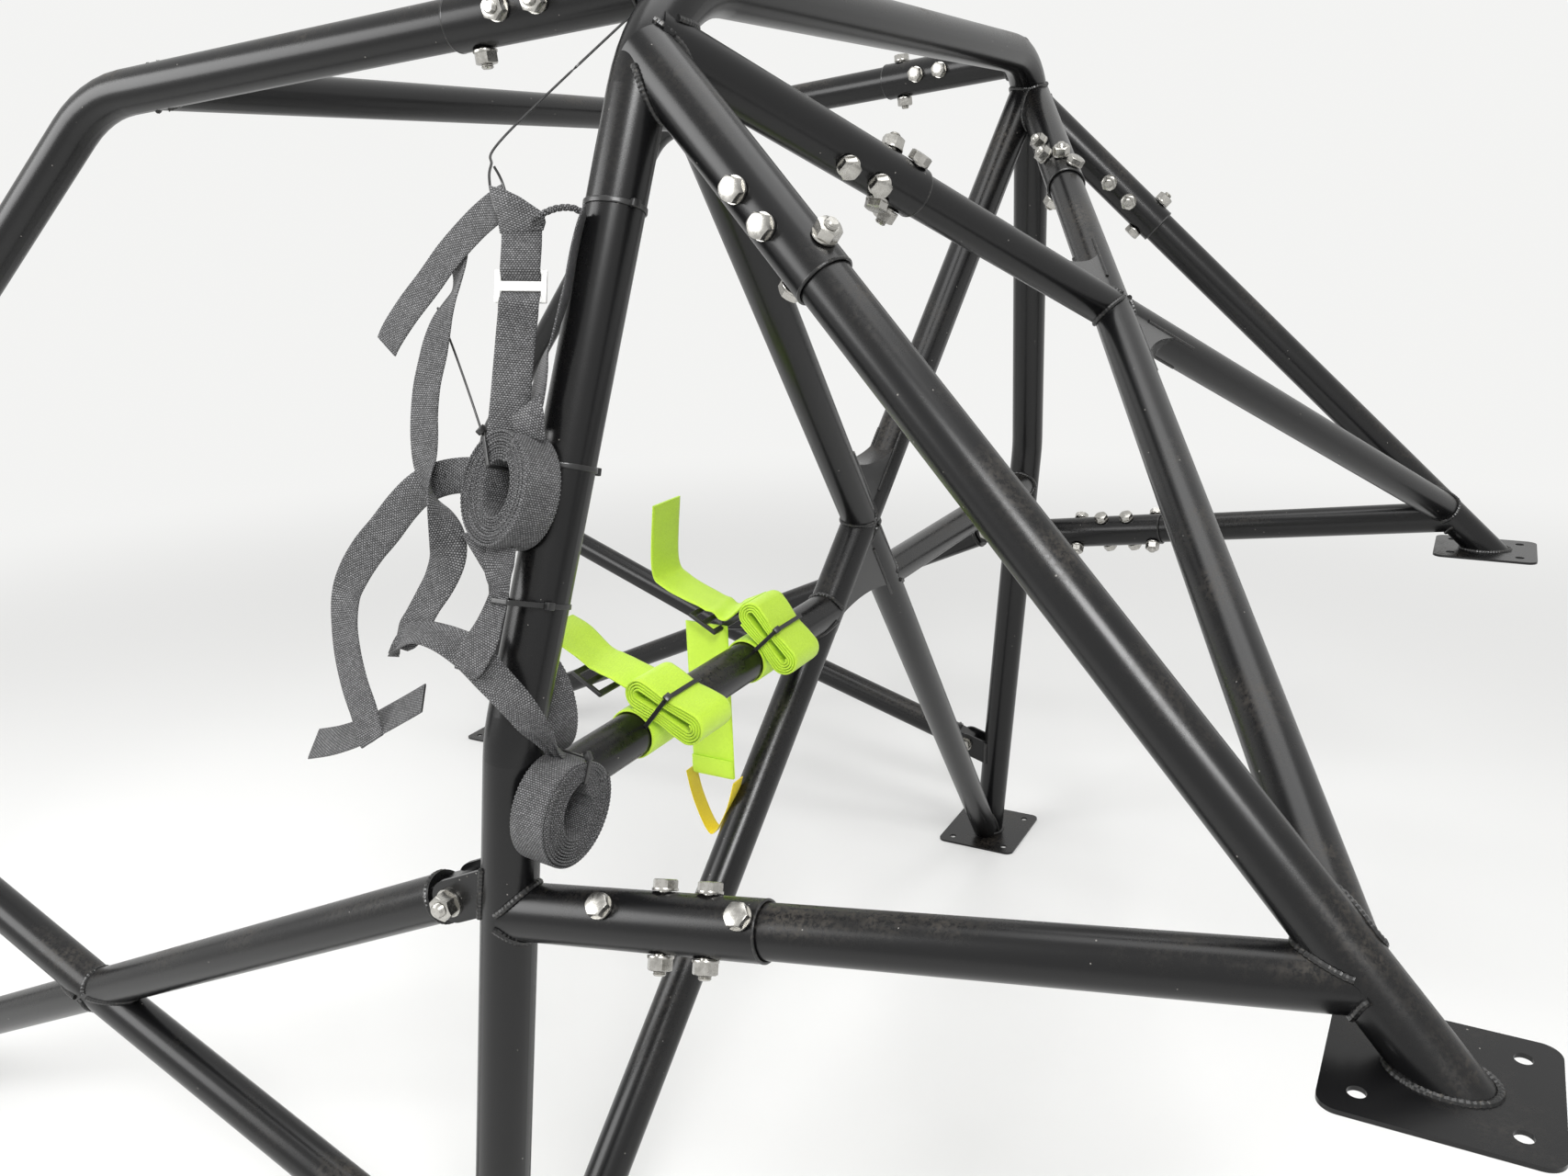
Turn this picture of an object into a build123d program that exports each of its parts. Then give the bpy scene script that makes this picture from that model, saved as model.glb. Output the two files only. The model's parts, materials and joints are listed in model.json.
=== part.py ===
from build123d import *
from math import cos, radians, sin, sqrt, tan
import os

os.makedirs("parts", exist_ok=True)

# A bolt-in roll cage for a small five-door car, with its window net and belts tied to it.
# Millimetres. X points to the left side of the car, Y to its tail and Z up.
# The floor under the four lower feet is Z = 0, and the cage is symmetric about X = 0.

# Tubes
hoop_od = 45.0
hoop_wall = 2.5
bar_od = 40.0
bar_wall = 2.0
brace_od = 38.0
brace_wall = 2.0
hoop_bend_radius = 120.0
bar_bend_radius = 110.0
weld_gap = 0.2

# How far tubes run on under their plates before they are cut, and the width of the cutting block
trim_run = 80.0
trim_width = 4000.0

# Main hoop: distances along its own leaning plane, measured from the floor
hoop_rake = 5.6
foot_half_width = 648.0
waist_height = 689.0
waist_half_width = 607.0
upper_lean = 18.2
hoop_height = 1229.0

# Where the other bars meet the hoop, along its plane
harness_bar_height = 628.0
side_bar_height = 543.0
stay_height = hoop_height - 53.0
brace_height = hoop_height - 42.0
diagonal_height = hoop_height - 33.0
diagonal_top_half_width = 430.0
diagonal_foot_half_width = 622.0
diagonal_foot_height = 16.0

# Rear feet, on the wheel arches, and how far up the stay its neighbours join
rear_foot_half_width = 592.0
rear_foot_behind_hoop = 699.0
rear_foot_height = 589.0
brace_join = 74.0
side_bar_join = 60.0

# Sleeves that the removable bars slide into
sleeve_clearance = 0.25
sleeve_insertion = 96.0
stay_sleeve_length = 231.0
brace_sleeve_length = 275.0
side_sleeve_length = 227.0
roof_sleeve_length = 200.0

# Front hoops: one bent bar a side, from the floor up the screen pillar and back along the roof
front_foot_half_width = 640.0
front_foot_ahead = 1060.0
knee_half_width = 622.0
knee_ahead = 1020.0
knee_height = 628.0
roof_corner_half_width = 470.0
roof_corner_ahead = 480.0
roof_corner_height = hoop_height - 57.0
roof_bar_end_half_width = 404.0
screen_bar_behind_corner = 74.0

# Door bars: a cross on each side, bolted into forks at all four ends. A fork's two plates stand on
# the leg, and the tongue on the bar's end fits between them.
door_bar_upper_height = 570.0
door_bar_lower_height = 150.0
front_fork_upper_height = 520.0
front_fork_lower_height = 62.0
fork_reach = 52.0
fork_plate = 4.0
fork_gap = 28.0
fork_depth = 36.0
fork_bolt_hole = 12.5
tongue_sheet = 4.0
tongue_side_gap = 0.2
tongue_setback = 4.0
tongue_reach = 20.0
bar_cap = 4.0
bar_cap_lip = 1.0
door_cross_share = 0.5

# Gussets: folded sheet that fills the corners of both crosses
gusset_sheet = 2.0
gusset_depth = 28.0
gusset_leg = 116.0
low_gusset_leg = 136.0
gusset_hollow = 16.0

# Foot plates: width, length and bolt holes
plate_thickness = 3.0
plate_corner = 12.0
plate_hole = 10.5
main_plate = (150.0, 130.0)
front_plate = (130.0, 120.0)
rear_plate = (110.0, 120.0)
hole_margin = 20.0

# The hoop's feet lie where the plates of the front and rear feet balance about Y = 0
hoop_y = (front_foot_ahead + front_plate[1] / 2 - rear_foot_behind_hoop - rear_plate[1] / 2) / 2

# Window net: webbing straps in two layers of a plane just outside the hoop's left leg, and their
# spare length in three rolls
webbing = 27.0
webbing_sheet = 1.6
soft_gap = 0.3
strap_end_gap = 0.7
net_height = 900.0
net_outside = 36.0
net_roll_radius = 43.0
net_roll_core = 13.0
net_roll_core_stretch = 14.0
upper_roll_height = 861.0
upper_roll_ahead = 4.5
upper_roll_turn = 20.4
lower_roll_height = 637.0
lower_roll_outside = -12.0
inner_roll_inboard = 62.0
inner_roll_ahead = 22.0
inner_roll_turn = 22.0
buckle_size = (40.0, 26.0)
buckle_corner = 4.0
buckle_sheet = 2.5
buckle_place = (-29.0, 105.0)

# Window net straps: layer out from the net's plane, then the route as (behind the leg, up)
net_routes = (
    (0, ((-30, 186), (-72, 161), (-96, 133), (-152, 70))),
    (1, ((-101, 118), (-112, 40), (-97, -32), (-67, -84), (-70, -130), (-109, -160))),
    (0, ((-122, -146), (-80, -148), (-27, -171), (12, -212))),
    (0, ((-113, -34), (-171, -104), (-174, -130), (-161, -178), (-130, -230))),
    (1, ((-182, -249), (-139, -236), (-80, -195))),
)
# Two more straps run from the net's top to the upper roll, and from the roll down to the sling
top_strap_start = (-42, 190)
top_strap_turn = (-31, 120)
low_strap_turn = (-19, -115)
low_strap_end = (-26, -168)
roll_strap_place = -22.0

# Belts folded into flat rolls on the harness bar
belt_width = 50.0
belt_sheet = 2.4
belt_roll_length = 84.0
belt_roll_thickness = 30.0
adjuster_size = (58.0, 34.0)
adjuster_sheet = 4.0
adjuster_slot = 6.0
adjuster_slot_pitch = 14.0
belt_tail_place = 243.0
belt_tail_behind = -50.5
belt_tail_drop = 137.0

# Belts: outer face, tilt of the roll, how far back it lies, and the strap's route forward of it as
# (behind the bar, above it)
belts = (
    (452.0, 24.0, 20.0, ((-27, 37), (-52, 52), (-73, 74), (-92, 82))),
    (256.0, 49.0, -4.0, ((-31, 31), (-56, 45), (-90, 66), (-104, 84), (-98, 150))),
)

UP = Vector(0, 0, 1)
SIDES = (("left", 1), ("right", -1))


def hoop_point(x, height):
    """A point of the hoop's plane: sideways place, and distance from the floor along the plane."""
    rake = radians(hoop_rake)
    return Vector(x, hoop_y + height * sin(rake), height * cos(rake))


def leg_half_width(height):
    """How far the leg's axis is from the middle at a height along the hoop's plane."""
    if height < waist_height:
        return foot_half_width + (waist_half_width - foot_half_width) * height / waist_height
    return waist_half_width - (height - waist_height) * tan(radians(upper_lean))


def side_of(point, side):
    """The point on the left side, or its twin on the right."""
    return Vector(point.X * side, point.Y, point.Z)


def along(start, end, distance):
    """The point at a distance from start towards end."""
    return start + (end - start).normalized() * distance


def ring(plane, outer, wall):
    """The round section of a tube, or a full disc where the wall is 0."""
    with BuildSketch(plane) as section:
        Circle(outer / 2)
        if wall:
            Circle(outer / 2 - wall, mode=Mode.SUBTRACT)
    return section.sketch


def straight(start, end, outer, wall=0.0):
    """A straight tube, or a rod where the wall is 0, with square ends."""
    section = ring(Plane(start, z_dir=end - start), outer, wall)
    with BuildPart() as made:
        extrude(section, amount=(end - start).length)
    return made.part


def bent(points, radius, outer, wall=0.0):
    """A tube along straight runs that are joined by bends."""
    with BuildLine() as route:
        FilletPolyline(*points, radius=radius)
    section = ring(Plane(points[0], z_dir=points[1] - points[0]), outer, wall)
    with BuildPart() as made:
        sweep(section, path=route.line)
    return made.part


def kept_piece(part):
    """The largest solid of a part, without the slivers that a cut leaves."""
    with BuildPart() as kept:
        add(part.solids().sort_by(SortBy.VOLUME)[-1])
    return kept.part


def coped(tube, carriers):
    """The tube with its ends shaped to the carriers, as one piece."""
    with BuildPart() as trimmed:
        add(tube)
        for carrier in carriers:
            add(carrier, mode=Mode.SUBTRACT)
    return kept_piece(trimmed.part)


def space_of(start, end, outer):
    """The room that a straight tube takes, with the gap of its weld."""
    return straight(start, end, outer + 2 * weld_gap)


def room_below(height):
    """A block that takes away what a tube has below a height."""
    with BuildPart(Plane((0, 0, height))) as block:
        Box(trim_width, trim_width, 2 * trim_run, align=(Align.CENTER, Align.CENTER, Align.MAX))
    return block.part


def save(part, name):
    """Label a finished piece and write it."""
    part.label = name
    export_step(part, f"parts/{name}.step")


# Main hoop
hoop_corner_half_width = leg_half_width(hoop_height)
hoop_right_half = [
    hoop_point(-hoop_corner_half_width, hoop_height),
    hoop_point(-waist_half_width, waist_height),
    hoop_point(-foot_half_width, 0),
]
hoop_route = [side_of(point, -1) for point in reversed(hoop_right_half)] + hoop_right_half
floor_room = room_below(plate_thickness + weld_gap)

main_hoop = coped(bent(hoop_route, hoop_bend_radius, hoop_od, hoop_wall), [floor_room])
save(main_hoop, "main_hoop")
hoop_space = bent(hoop_route, hoop_bend_radius, hoop_od + 2 * weld_gap)

# The hoop's cross: one long diagonal, and a second one in two pieces welded to it
diagonal_top = hoop_point(diagonal_top_half_width, diagonal_height)
diagonal_foot = hoop_point(-diagonal_foot_half_width, diagonal_foot_height)
diagonal_run = diagonal_foot - diagonal_top
cross_share = diagonal_top_half_width / (diagonal_top_half_width + diagonal_foot_half_width)
hoop_cross = diagonal_top + diagonal_run * cross_share
diagonal_space = space_of(diagonal_top, diagonal_foot, bar_od)

hoop_diagonal_main = coped(
    straight(diagonal_top, diagonal_foot, bar_od, bar_wall), [hoop_space, floor_room]
)
save(hoop_diagonal_main, "hoop_diagonal_main")

other_top = side_of(diagonal_top, -1)
other_foot = side_of(diagonal_foot, -1)
hoop_diagonal_upper = coped(
    straight(other_top, hoop_cross, bar_od, bar_wall), [hoop_space, diagonal_space]
)
save(hoop_diagonal_upper, "hoop_diagonal_upper")
hoop_diagonal_lower = coped(
    straight(hoop_cross, other_foot, bar_od, bar_wall), [hoop_space, diagonal_space, floor_room]
)
save(hoop_diagonal_lower, "hoop_diagonal_lower")
upper_space = space_of(other_top, hoop_cross, bar_od)
lower_space = space_of(hoop_cross, other_foot, bar_od)
hoop_cross_spaces = [hoop_space, diagonal_space, upper_space, lower_space]

# Harness bar, in two pieces that end on the cross
bar_left = hoop_point(leg_half_width(harness_bar_height), harness_bar_height)
bar_right = side_of(bar_left, -1)
cross_slope = (diagonal_top_half_width + diagonal_foot_half_width) / (
    diagonal_height - diagonal_foot_height
)
cross_height = diagonal_height - diagonal_top_half_width / cross_slope
bar_cross_half = (cross_height - harness_bar_height) * cross_slope
for side_name, side, end in (("left", 1, lower_space), ("right", -1, diagonal_space)):
    inner = hoop_point(side * bar_cross_half, harness_bar_height)
    outer = side_of(bar_left, side)
    bar = coped(straight(outer, inner, bar_od, bar_wall), [hoop_space, end])
    save(bar, f"harness_bar_{side_name}")


def gusset(corner, first, second, leg, spaces):
    """A folded sheet in the corner between two tubes: two cheeks and a rounded free edge."""
    first_end = corner + first.normalized() * leg
    second_end = corner + second.normalized() * leg
    across = (first_end - second_end).normalized()
    inward = (corner - (first_end + second_end) * 0.5).normalized()
    sheet_plane = Plane(corner, x_dir=across, z_dir=across.cross(inward))

    def blank(setback, depth):
        """The blank between the tubes, its hollow free edge set back from the corner's mouth."""
        a = first_end + inward * setback
        b = second_end + inward * setback
        middle = (a + b) * 0.5 + inward * gusset_hollow
        with BuildPart() as made:
            with BuildSketch(sheet_plane):
                with BuildLine():
                    p, q, m, c = (sheet_plane.to_local_coords(v) for v in (a, b, middle, corner))
                    ThreePointArc((p.X, p.Y), (m.X, m.Y), (q.X, q.Y))
                    Polyline((q.X, q.Y), (c.X, c.Y), (p.X, p.Y))
                make_face()
            extrude(amount=depth / 2, both=True)
        return made.part

    with BuildPart() as made:
        add(blank(0, gusset_depth))
        add(blank(gusset_sheet, gusset_depth - 2 * gusset_sheet), mode=Mode.SUBTRACT)
        for space in spaces:
            add(space, mode=Mode.SUBTRACT)
    return made.part.solids().sort_by(SortBy.VOLUME)[-1]


down_main = diagonal_run
down_other = other_foot - other_top
harness_space = space_of(bar_left, hoop_point(bar_cross_half, harness_bar_height), bar_od)
right_harness_space = space_of(bar_right, hoop_point(-bar_cross_half, harness_bar_height), bar_od)
with BuildPart() as hoop_gussets:
    add(gusset(hoop_cross, down_main * -1, down_other * -1, gusset_leg, hoop_cross_spaces))
    add(
        gusset(
            hoop_cross, down_main, down_other, low_gusset_leg,
            hoop_cross_spaces + [harness_space, right_harness_space],
        )
    )
save(hoop_gussets.part, "hoop_gussets")

# Rear feet and the two stays that run down to them, each in its sleeve
rear_foot = Vector(rear_foot_half_width, hoop_y + rear_foot_behind_hoop, rear_foot_height)
stay_top = hoop_point(leg_half_width(stay_height), stay_height)
stay_tail = along(rear_foot, stay_top, -trim_run)
under_plate = room_below(rear_foot_height + weld_gap)
sleeve_id = bar_od + 2 * sleeve_clearance
sleeve_wall = (hoop_od - sleeve_id) / 2
stay_spaces = {}
stay_sleeve_spaces = {}
for side_name, side in SIDES:
    top = side_of(stay_top, side)
    foot = side_of(rear_foot, side)
    mouth = along(top, foot, stay_sleeve_length)
    sleeve = straight(top, mouth, hoop_od, sleeve_wall)
    save(coped(sleeve, [hoop_space, diagonal_space, upper_space]), f"stay_sleeve_{side_name}")
    stay = straight(along(mouth, top, sleeve_insertion), side_of(stay_tail, side), bar_od, bar_wall)
    save(coped(stay, [under_plate]), f"rear_stay_{side_name}")
    stay_spaces[side] = space_of(top, side_of(stay_tail, side), bar_od)
    stay_sleeve_spaces[side] = space_of(top, mouth, hoop_od)

# The cross between the stays: one long brace, and a second one in two pieces
brace_top = hoop_point(leg_half_width(brace_height), brace_height)
brace_foot = along(side_of(rear_foot, -1), side_of(stay_top, -1), brace_join)
brace_run = brace_foot - brace_top
rear_cross = brace_top + brace_run * (brace_top.X / (brace_top.X - brace_foot.X))
brace_sleeve_id = brace_od + 2 * sleeve_clearance
brace_sleeve_od = brace_sleeve_id + 2 * sleeve_wall
brace_space = space_of(brace_top, brace_foot, brace_od)
for side_name, side in SIDES:
    top = side_of(brace_top, side)
    mouth = along(top, side_of(rear_cross, side), brace_sleeve_length)
    sleeve = straight(top, mouth, brace_sleeve_od, sleeve_wall)
    carriers = [hoop_space, diagonal_space, upper_space, stay_sleeve_spaces[side]]
    save(coped(sleeve, carriers), f"brace_sleeve_{side_name}")

other_brace_top = side_of(brace_top, -1)
other_brace_foot = side_of(brace_foot, -1)
main_start = along(brace_top, rear_cross, brace_sleeve_length - sleeve_insertion)
upper_start = along(other_brace_top, rear_cross, brace_sleeve_length - sleeve_insertion)
rear_brace_main = coped(straight(main_start, brace_foot, brace_od, brace_wall), [stay_spaces[-1]])
save(rear_brace_main, "rear_brace_main")
rear_brace_upper = coped(straight(upper_start, rear_cross, brace_od, brace_wall), [brace_space])
save(rear_brace_upper, "rear_brace_upper")
rear_brace_lower = coped(
    straight(rear_cross, other_brace_foot, brace_od, brace_wall), [brace_space, stay_spaces[1]]
)
save(rear_brace_lower, "rear_brace_lower")

other_brace_space = space_of(other_brace_top, other_brace_foot, brace_od)
with BuildPart() as rear_gussets:
    for way in (-1, 1):
        add(
            gusset(
                rear_cross, brace_run * way, (other_brace_foot - other_brace_top) * way,
                gusset_leg, [brace_space, other_brace_space],
            )
        )
save(rear_gussets.part, "rear_gussets")

# Side bars, from a sleeve on the hoop's leg back to the stay
brace_foot_spaces = {1: other_brace_space, -1: brace_space}
side_start = hoop_point(leg_half_width(side_bar_height), side_bar_height)
side_end = along(rear_foot, stay_top, side_bar_join)
side_spaces = {}
for side_name, side in SIDES:
    start = side_of(side_start, side)
    end = side_of(side_end, side)
    mouth = along(start, end, side_sleeve_length)
    sleeve = straight(start, mouth, hoop_od, sleeve_wall)
    save(coped(sleeve, [hoop_space]), f"side_sleeve_{side_name}")
    bar = straight(along(mouth, start, sleeve_insertion), end, bar_od, bar_wall)
    save(coped(bar, [stay_spaces[side], brace_foot_spaces[side]]), f"side_bar_{side_name}")

# Front hoops with their roof bars, and the sleeves that hold them to the main hoop
front_foot = Vector(front_foot_half_width, hoop_y - front_foot_ahead, 0)
knee = Vector(knee_half_width, hoop_y - knee_ahead, knee_height)
roof_corner = Vector(roof_corner_half_width, hoop_y - roof_corner_ahead, roof_corner_height)
roof_end = hoop_point(roof_bar_end_half_width, hoop_height)
screen_point = along(roof_corner, roof_end, screen_bar_behind_corner)
front_spaces = {}
for side_name, side in SIDES:
    route = [side_of(point, side) for point in (front_foot, knee, roof_corner, roof_end)]
    mouth = along(route[3], route[2], roof_sleeve_length)
    start = along(mouth, route[3], sleeve_insertion)
    sleeve = straight(route[3], mouth, hoop_od, sleeve_wall)
    save(coped(sleeve, [hoop_space]), f"roof_sleeve_{side_name}")
    front_route = route[:3] + [start]
    front = bent(front_route, bar_bend_radius, bar_od, bar_wall)
    save(coped(front, [floor_room]), f"front_hoop_{side_name}")
    front_spaces[side] = bent(front_route, bar_bend_radius, bar_od + 2 * weld_gap)

screen_bar = coped(
    straight(screen_point, side_of(screen_point, -1), bar_od, bar_wall),
    [front_spaces[1], front_spaces[-1]],
)
save(screen_bar, "screen_bar")


def round_end(plane, radius, reach):
    """The outline of a plate that ends round about the plane's origin and runs on along its x."""
    with BuildSketch(plane) as outline:
        Circle(radius)
        with Locations((reach / 2, 0)):
            Rectangle(reach, 2 * radius)
    return outline.sketch


def fork(bolt, back, normal, carrier_space):
    """Two upright plates with round ends, welded to a leg, that take a bolt across them."""
    plane = Plane(bolt, x_dir=back, z_dir=normal)
    middle = (fork_gap + fork_plate) / 2
    near, far = (round_end(plane.offset(place), fork_depth / 2, fork_reach) for place in (middle, -middle))
    with BuildPart() as made:
        extrude(near, amount=fork_plate / 2, both=True)
        extrude(far, amount=fork_plate / 2, both=True)
        with Locations(plane):
            Cylinder(fork_bolt_hole / 2, fork_gap + 4 * fork_plate, mode=Mode.SUBTRACT)
        add(carrier_space, mode=Mode.SUBTRACT)
    return made.part.solids().sort_by(SortBy.VOLUME)[-2:]


def bar_end(bolt, forward, normal):
    """A door bar's end: a cap on the tube, and a folded tongue that is closed along its top."""
    plane = Plane(bolt, x_dir=forward, z_dir=normal)
    hollow_plane = Plane(bolt - plane.y_dir * tongue_sheet, x_dir=forward, z_dir=normal)
    radius = fork_depth / 2 - tongue_setback
    half_width = fork_gap / 2 - tongue_side_gap
    tongue = round_end(plane, radius, tongue_reach)
    hollow = round_end(hollow_plane, radius, tongue_reach)
    cap_start = bolt + forward * tongue_reach
    cap = straight(cap_start, cap_start + forward * bar_cap, bar_od + 2 * bar_cap_lip)
    with BuildPart() as made:
        extrude(tongue, amount=half_width, both=True)
        extrude(hollow, amount=half_width - tongue_sheet, both=True, mode=Mode.SUBTRACT)
        with Locations(plane):
            Cylinder(fork_bolt_hole / 2, fork_gap, mode=Mode.SUBTRACT)
        add(cap)
    return made.part


# Door bars: the long one falls to the front foot, the other two rise on either side of it
door_fork_places = {
    "rear_upper": hoop_point(leg_half_width(door_bar_upper_height), door_bar_upper_height),
    "rear_lower": hoop_point(leg_half_width(door_bar_lower_height), door_bar_lower_height),
    "front_upper": front_foot + (knee - front_foot) * (front_fork_upper_height / knee_height),
    "front_lower": front_foot + (knee - front_foot) * (front_fork_lower_height / knee_height),
}
left_door_cross = (
    door_fork_places["rear_upper"] * (1 - door_cross_share)
    + door_fork_places["front_lower"] * door_cross_share
)
for side_name, side in SIDES:
    places = {name: side_of(point, side) for name, point in door_fork_places.items()}
    door_cross = side_of(left_door_cross, side)
    forks = []
    ends = {}
    for name in places:
        run = (door_cross - places[name]).normalized()
        bolt = places[name] + run * fork_reach
        normal = run.cross(UP).normalized()
        space = hoop_space if name.startswith("rear") else front_spaces[side]
        forks += fork(bolt, run * -1, normal, space)
        ends[name] = (bolt, run, normal)
    with BuildPart() as door_forks:
        for plate in forks:
            add(plate)
    save(door_forks.part, f"door_forks_{side_name}")

    long_bolt, long_run, long_normal = ends["rear_upper"]
    far_bolt = ends["front_lower"][0]
    tube_start = long_bolt + long_run * (tongue_reach + bar_cap)
    tube_end = far_bolt - long_run * (tongue_reach + bar_cap)
    with BuildPart() as door_bar_main:
        add(straight(tube_start, tube_end, bar_od, bar_wall))
        add(bar_end(*ends["rear_upper"]))
        add(bar_end(*ends["front_lower"]))
    save(door_bar_main.part, f"door_bar_main_{side_name}")
    long_space = space_of(tube_start, tube_end, bar_od)

    halves = []
    for name in ("rear_lower", "front_upper"):
        bolt, run, normal = ends[name]
        with BuildPart() as door_half:
            add(straight(bolt + run * (tongue_reach + bar_cap), door_cross, bar_od, bar_wall))
            add(bar_end(bolt, run, normal))
            add(long_space, mode=Mode.SUBTRACT)
        halves.append(kept_piece(door_half.part))
    with BuildPart() as door_bar_halves:
        for half in halves:
            add(half)
    save(door_bar_halves.part, f"door_bar_halves_{side_name}")


def foot_plate(centre, top, size):
    """A rectangular plate with round corners and four bolt holes."""
    width, length = size
    with BuildPart() as made:
        with BuildSketch(Plane((centre.X, centre.Y, top - plate_thickness))):
            RectangleRounded(width, length, plate_corner)
            with GridLocations(width - 2 * hole_margin, length - 2 * hole_margin, 2, 2):
                Circle(plate_hole / 2, mode=Mode.SUBTRACT)
        extrude(amount=plate_thickness)
    return made.part


# Foot plates, with the holes for the body's bolts
hoop_foot = hoop_point(foot_half_width, 0)
for place, point, top, size in (
    ("main", hoop_foot, plate_thickness, main_plate),
    ("front", front_foot, plate_thickness, front_plate),
    ("rear", rear_foot, rear_foot_height, rear_plate),
):
    for side_name, side in SIDES:
        save(foot_plate(side_of(point, side), top, size), f"{place}_foot_{side_name}")


def strap(plane, points, width, depth):
    """A flat strap along straight runs in a plane, with mitred turns."""
    route = [Vector(across, up, 0) for across, up in points]
    runs = [(after - before).normalized() for before, after in zip(route, route[1:])]
    edges = {1: [], -1: []}
    for at, before, after in zip(route, runs[:1] + runs, runs + runs[-1:]):
        middle = (before + after).normalized()
        reach = width / 2 / middle.dot(before)
        for edge in edges:
            edges[edge].append(at + Vector(-middle.Y, middle.X, 0) * (edge * reach))
    outline = edges[1] + edges[-1][::-1]
    with BuildPart() as made:
        with BuildSketch(plane):
            with BuildLine():
                Polyline([(corner.X, corner.Y) for corner in outline], close=True)
            make_face()
        extrude(amount=depth)
    return made.part


def webbing_roll(centre, axis):
    """A strap wound up on itself, with an oval hole through its middle."""
    with BuildPart() as made:
        with BuildSketch(Plane(centre, x_dir=UP.cross(axis), z_dir=axis)):
            Circle(net_roll_radius)
            SlotCenterToCenter(
                net_roll_core_stretch, 2 * net_roll_core, rotation=90, mode=Mode.SUBTRACT
            )
        extrude(amount=webbing / 2, both=True)
    return made.part


# The net's rolls: the upper and lower ones lie flat against the leg, the inner one on the bar
lean = radians(upper_lean)
net_out = Vector(cos(lean), 0, sin(lean))
net_up = Vector(-sin(lean), 0, cos(lean))
net_back = Vector(0, 1, 0)
net_origin = hoop_point(leg_half_width(net_height), net_height) + net_out * net_outside
net_plane = Plane(net_origin, x_dir=net_back, z_dir=net_out)
roll_stand_off = (hoop_od + webbing) / 2 + soft_gap

upper_leg = hoop_point(leg_half_width(upper_roll_height), upper_roll_height)
upper_leg_run = (hoop_point(leg_half_width(hoop_height), hoop_height) - upper_leg).normalized()
upper_back = upper_leg_run.cross(net_out).normalized()
turn = radians(upper_roll_turn)
upper_roll_axis = upper_back.cross(upper_leg_run) * cos(turn) - upper_back * sin(turn)
upper_roll_side = upper_leg_run.cross(upper_roll_axis)
upper_roll_centre = (
    upper_leg + upper_roll_axis * roll_stand_off - upper_roll_side * upper_roll_ahead
)

lower_leg = hoop_point(leg_half_width(lower_roll_height), lower_roll_height)
lower_leg_run = (hoop_point(waist_half_width, waist_height) - lower_leg).normalized()
lower_roll_axis = Vector(1, 0, 0).cross(lower_leg_run).normalized() * -1
lower_roll_centre = (
    lower_leg + lower_roll_axis * roll_stand_off + Vector(lower_roll_outside, 0, 0)
)

bar_axis_point = hoop_point(0, harness_bar_height)
# The inner roll rests on the bar with the rear edge of its rim
turn = radians(inner_roll_turn)
inner_roll_axis = Vector(cos(turn), -sin(turn), 0)
rim_ahead = inner_roll_ahead - webbing / 2 * sin(turn)
inner_roll_rise = sqrt((bar_od / 2 + soft_gap + net_roll_radius) ** 2 - rim_ahead**2)
inner_roll_centre = bar_left + Vector(-inner_roll_inboard, -inner_roll_ahead, inner_roll_rise)

with BuildPart() as net_rolls:
    add(webbing_roll(upper_roll_centre, upper_roll_axis))
    add(webbing_roll(lower_roll_centre, lower_roll_axis))
    add(webbing_roll(inner_roll_centre, inner_roll_axis))
save(net_rolls.part, "net_rolls")

# The straps that end on the upper roll stop just above and below its rim
roll_in_net = net_plane.to_local_coords(upper_roll_centre)
roll_rim = net_roll_radius + strap_end_gap
rim_top = roll_in_net.Y + roll_rim
rim_bottom = roll_in_net.Y - roll_rim

roll_routes = (
    (1, (top_strap_start, top_strap_turn, (roll_strap_place, rim_top))),
    (1, ((roll_strap_place, rim_bottom), low_strap_turn, low_strap_end)),
)
with BuildPart() as net_straps:
    for layer, points in net_routes + roll_routes:
        layer_plane = net_plane.offset(layer * (webbing_sheet + soft_gap))
        add(strap(layer_plane, points, webbing, webbing_sheet))
save(net_straps.part, "net_straps")

# Slide buckle on the strap that hangs to the upper roll
with BuildPart() as net_buckle:
    with BuildSketch(net_plane.offset(2 * (webbing_sheet + soft_gap))):
        with Locations(buckle_place):
            RectangleRounded(*buckle_size, buckle_corner)
    extrude(amount=buckle_sheet)
save(net_buckle.part, "net_buckle")

# Each belt: its band round the harness bar, its roll on top, the strap that runs forward from the
# roll, and the adjuster that lies under the strap
band_inner = bar_od / 2 + soft_gap
band_outer = band_inner + belt_sheet
roll_rise = band_outer + soft_gap + belt_roll_thickness / 2
adjuster_centres = []
with BuildPart() as belt_bands:
    for place, tilt, slide, route in belts:
        with BuildSketch(Plane(bar_axis_point + Vector(place, 0, 0), z_dir=(-1, 0, 0))):
            Circle(band_outer)
            Circle(band_inner, mode=Mode.SUBTRACT)
        extrude(amount=belt_width)
save(belt_bands.part, "belt_bands")

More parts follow.
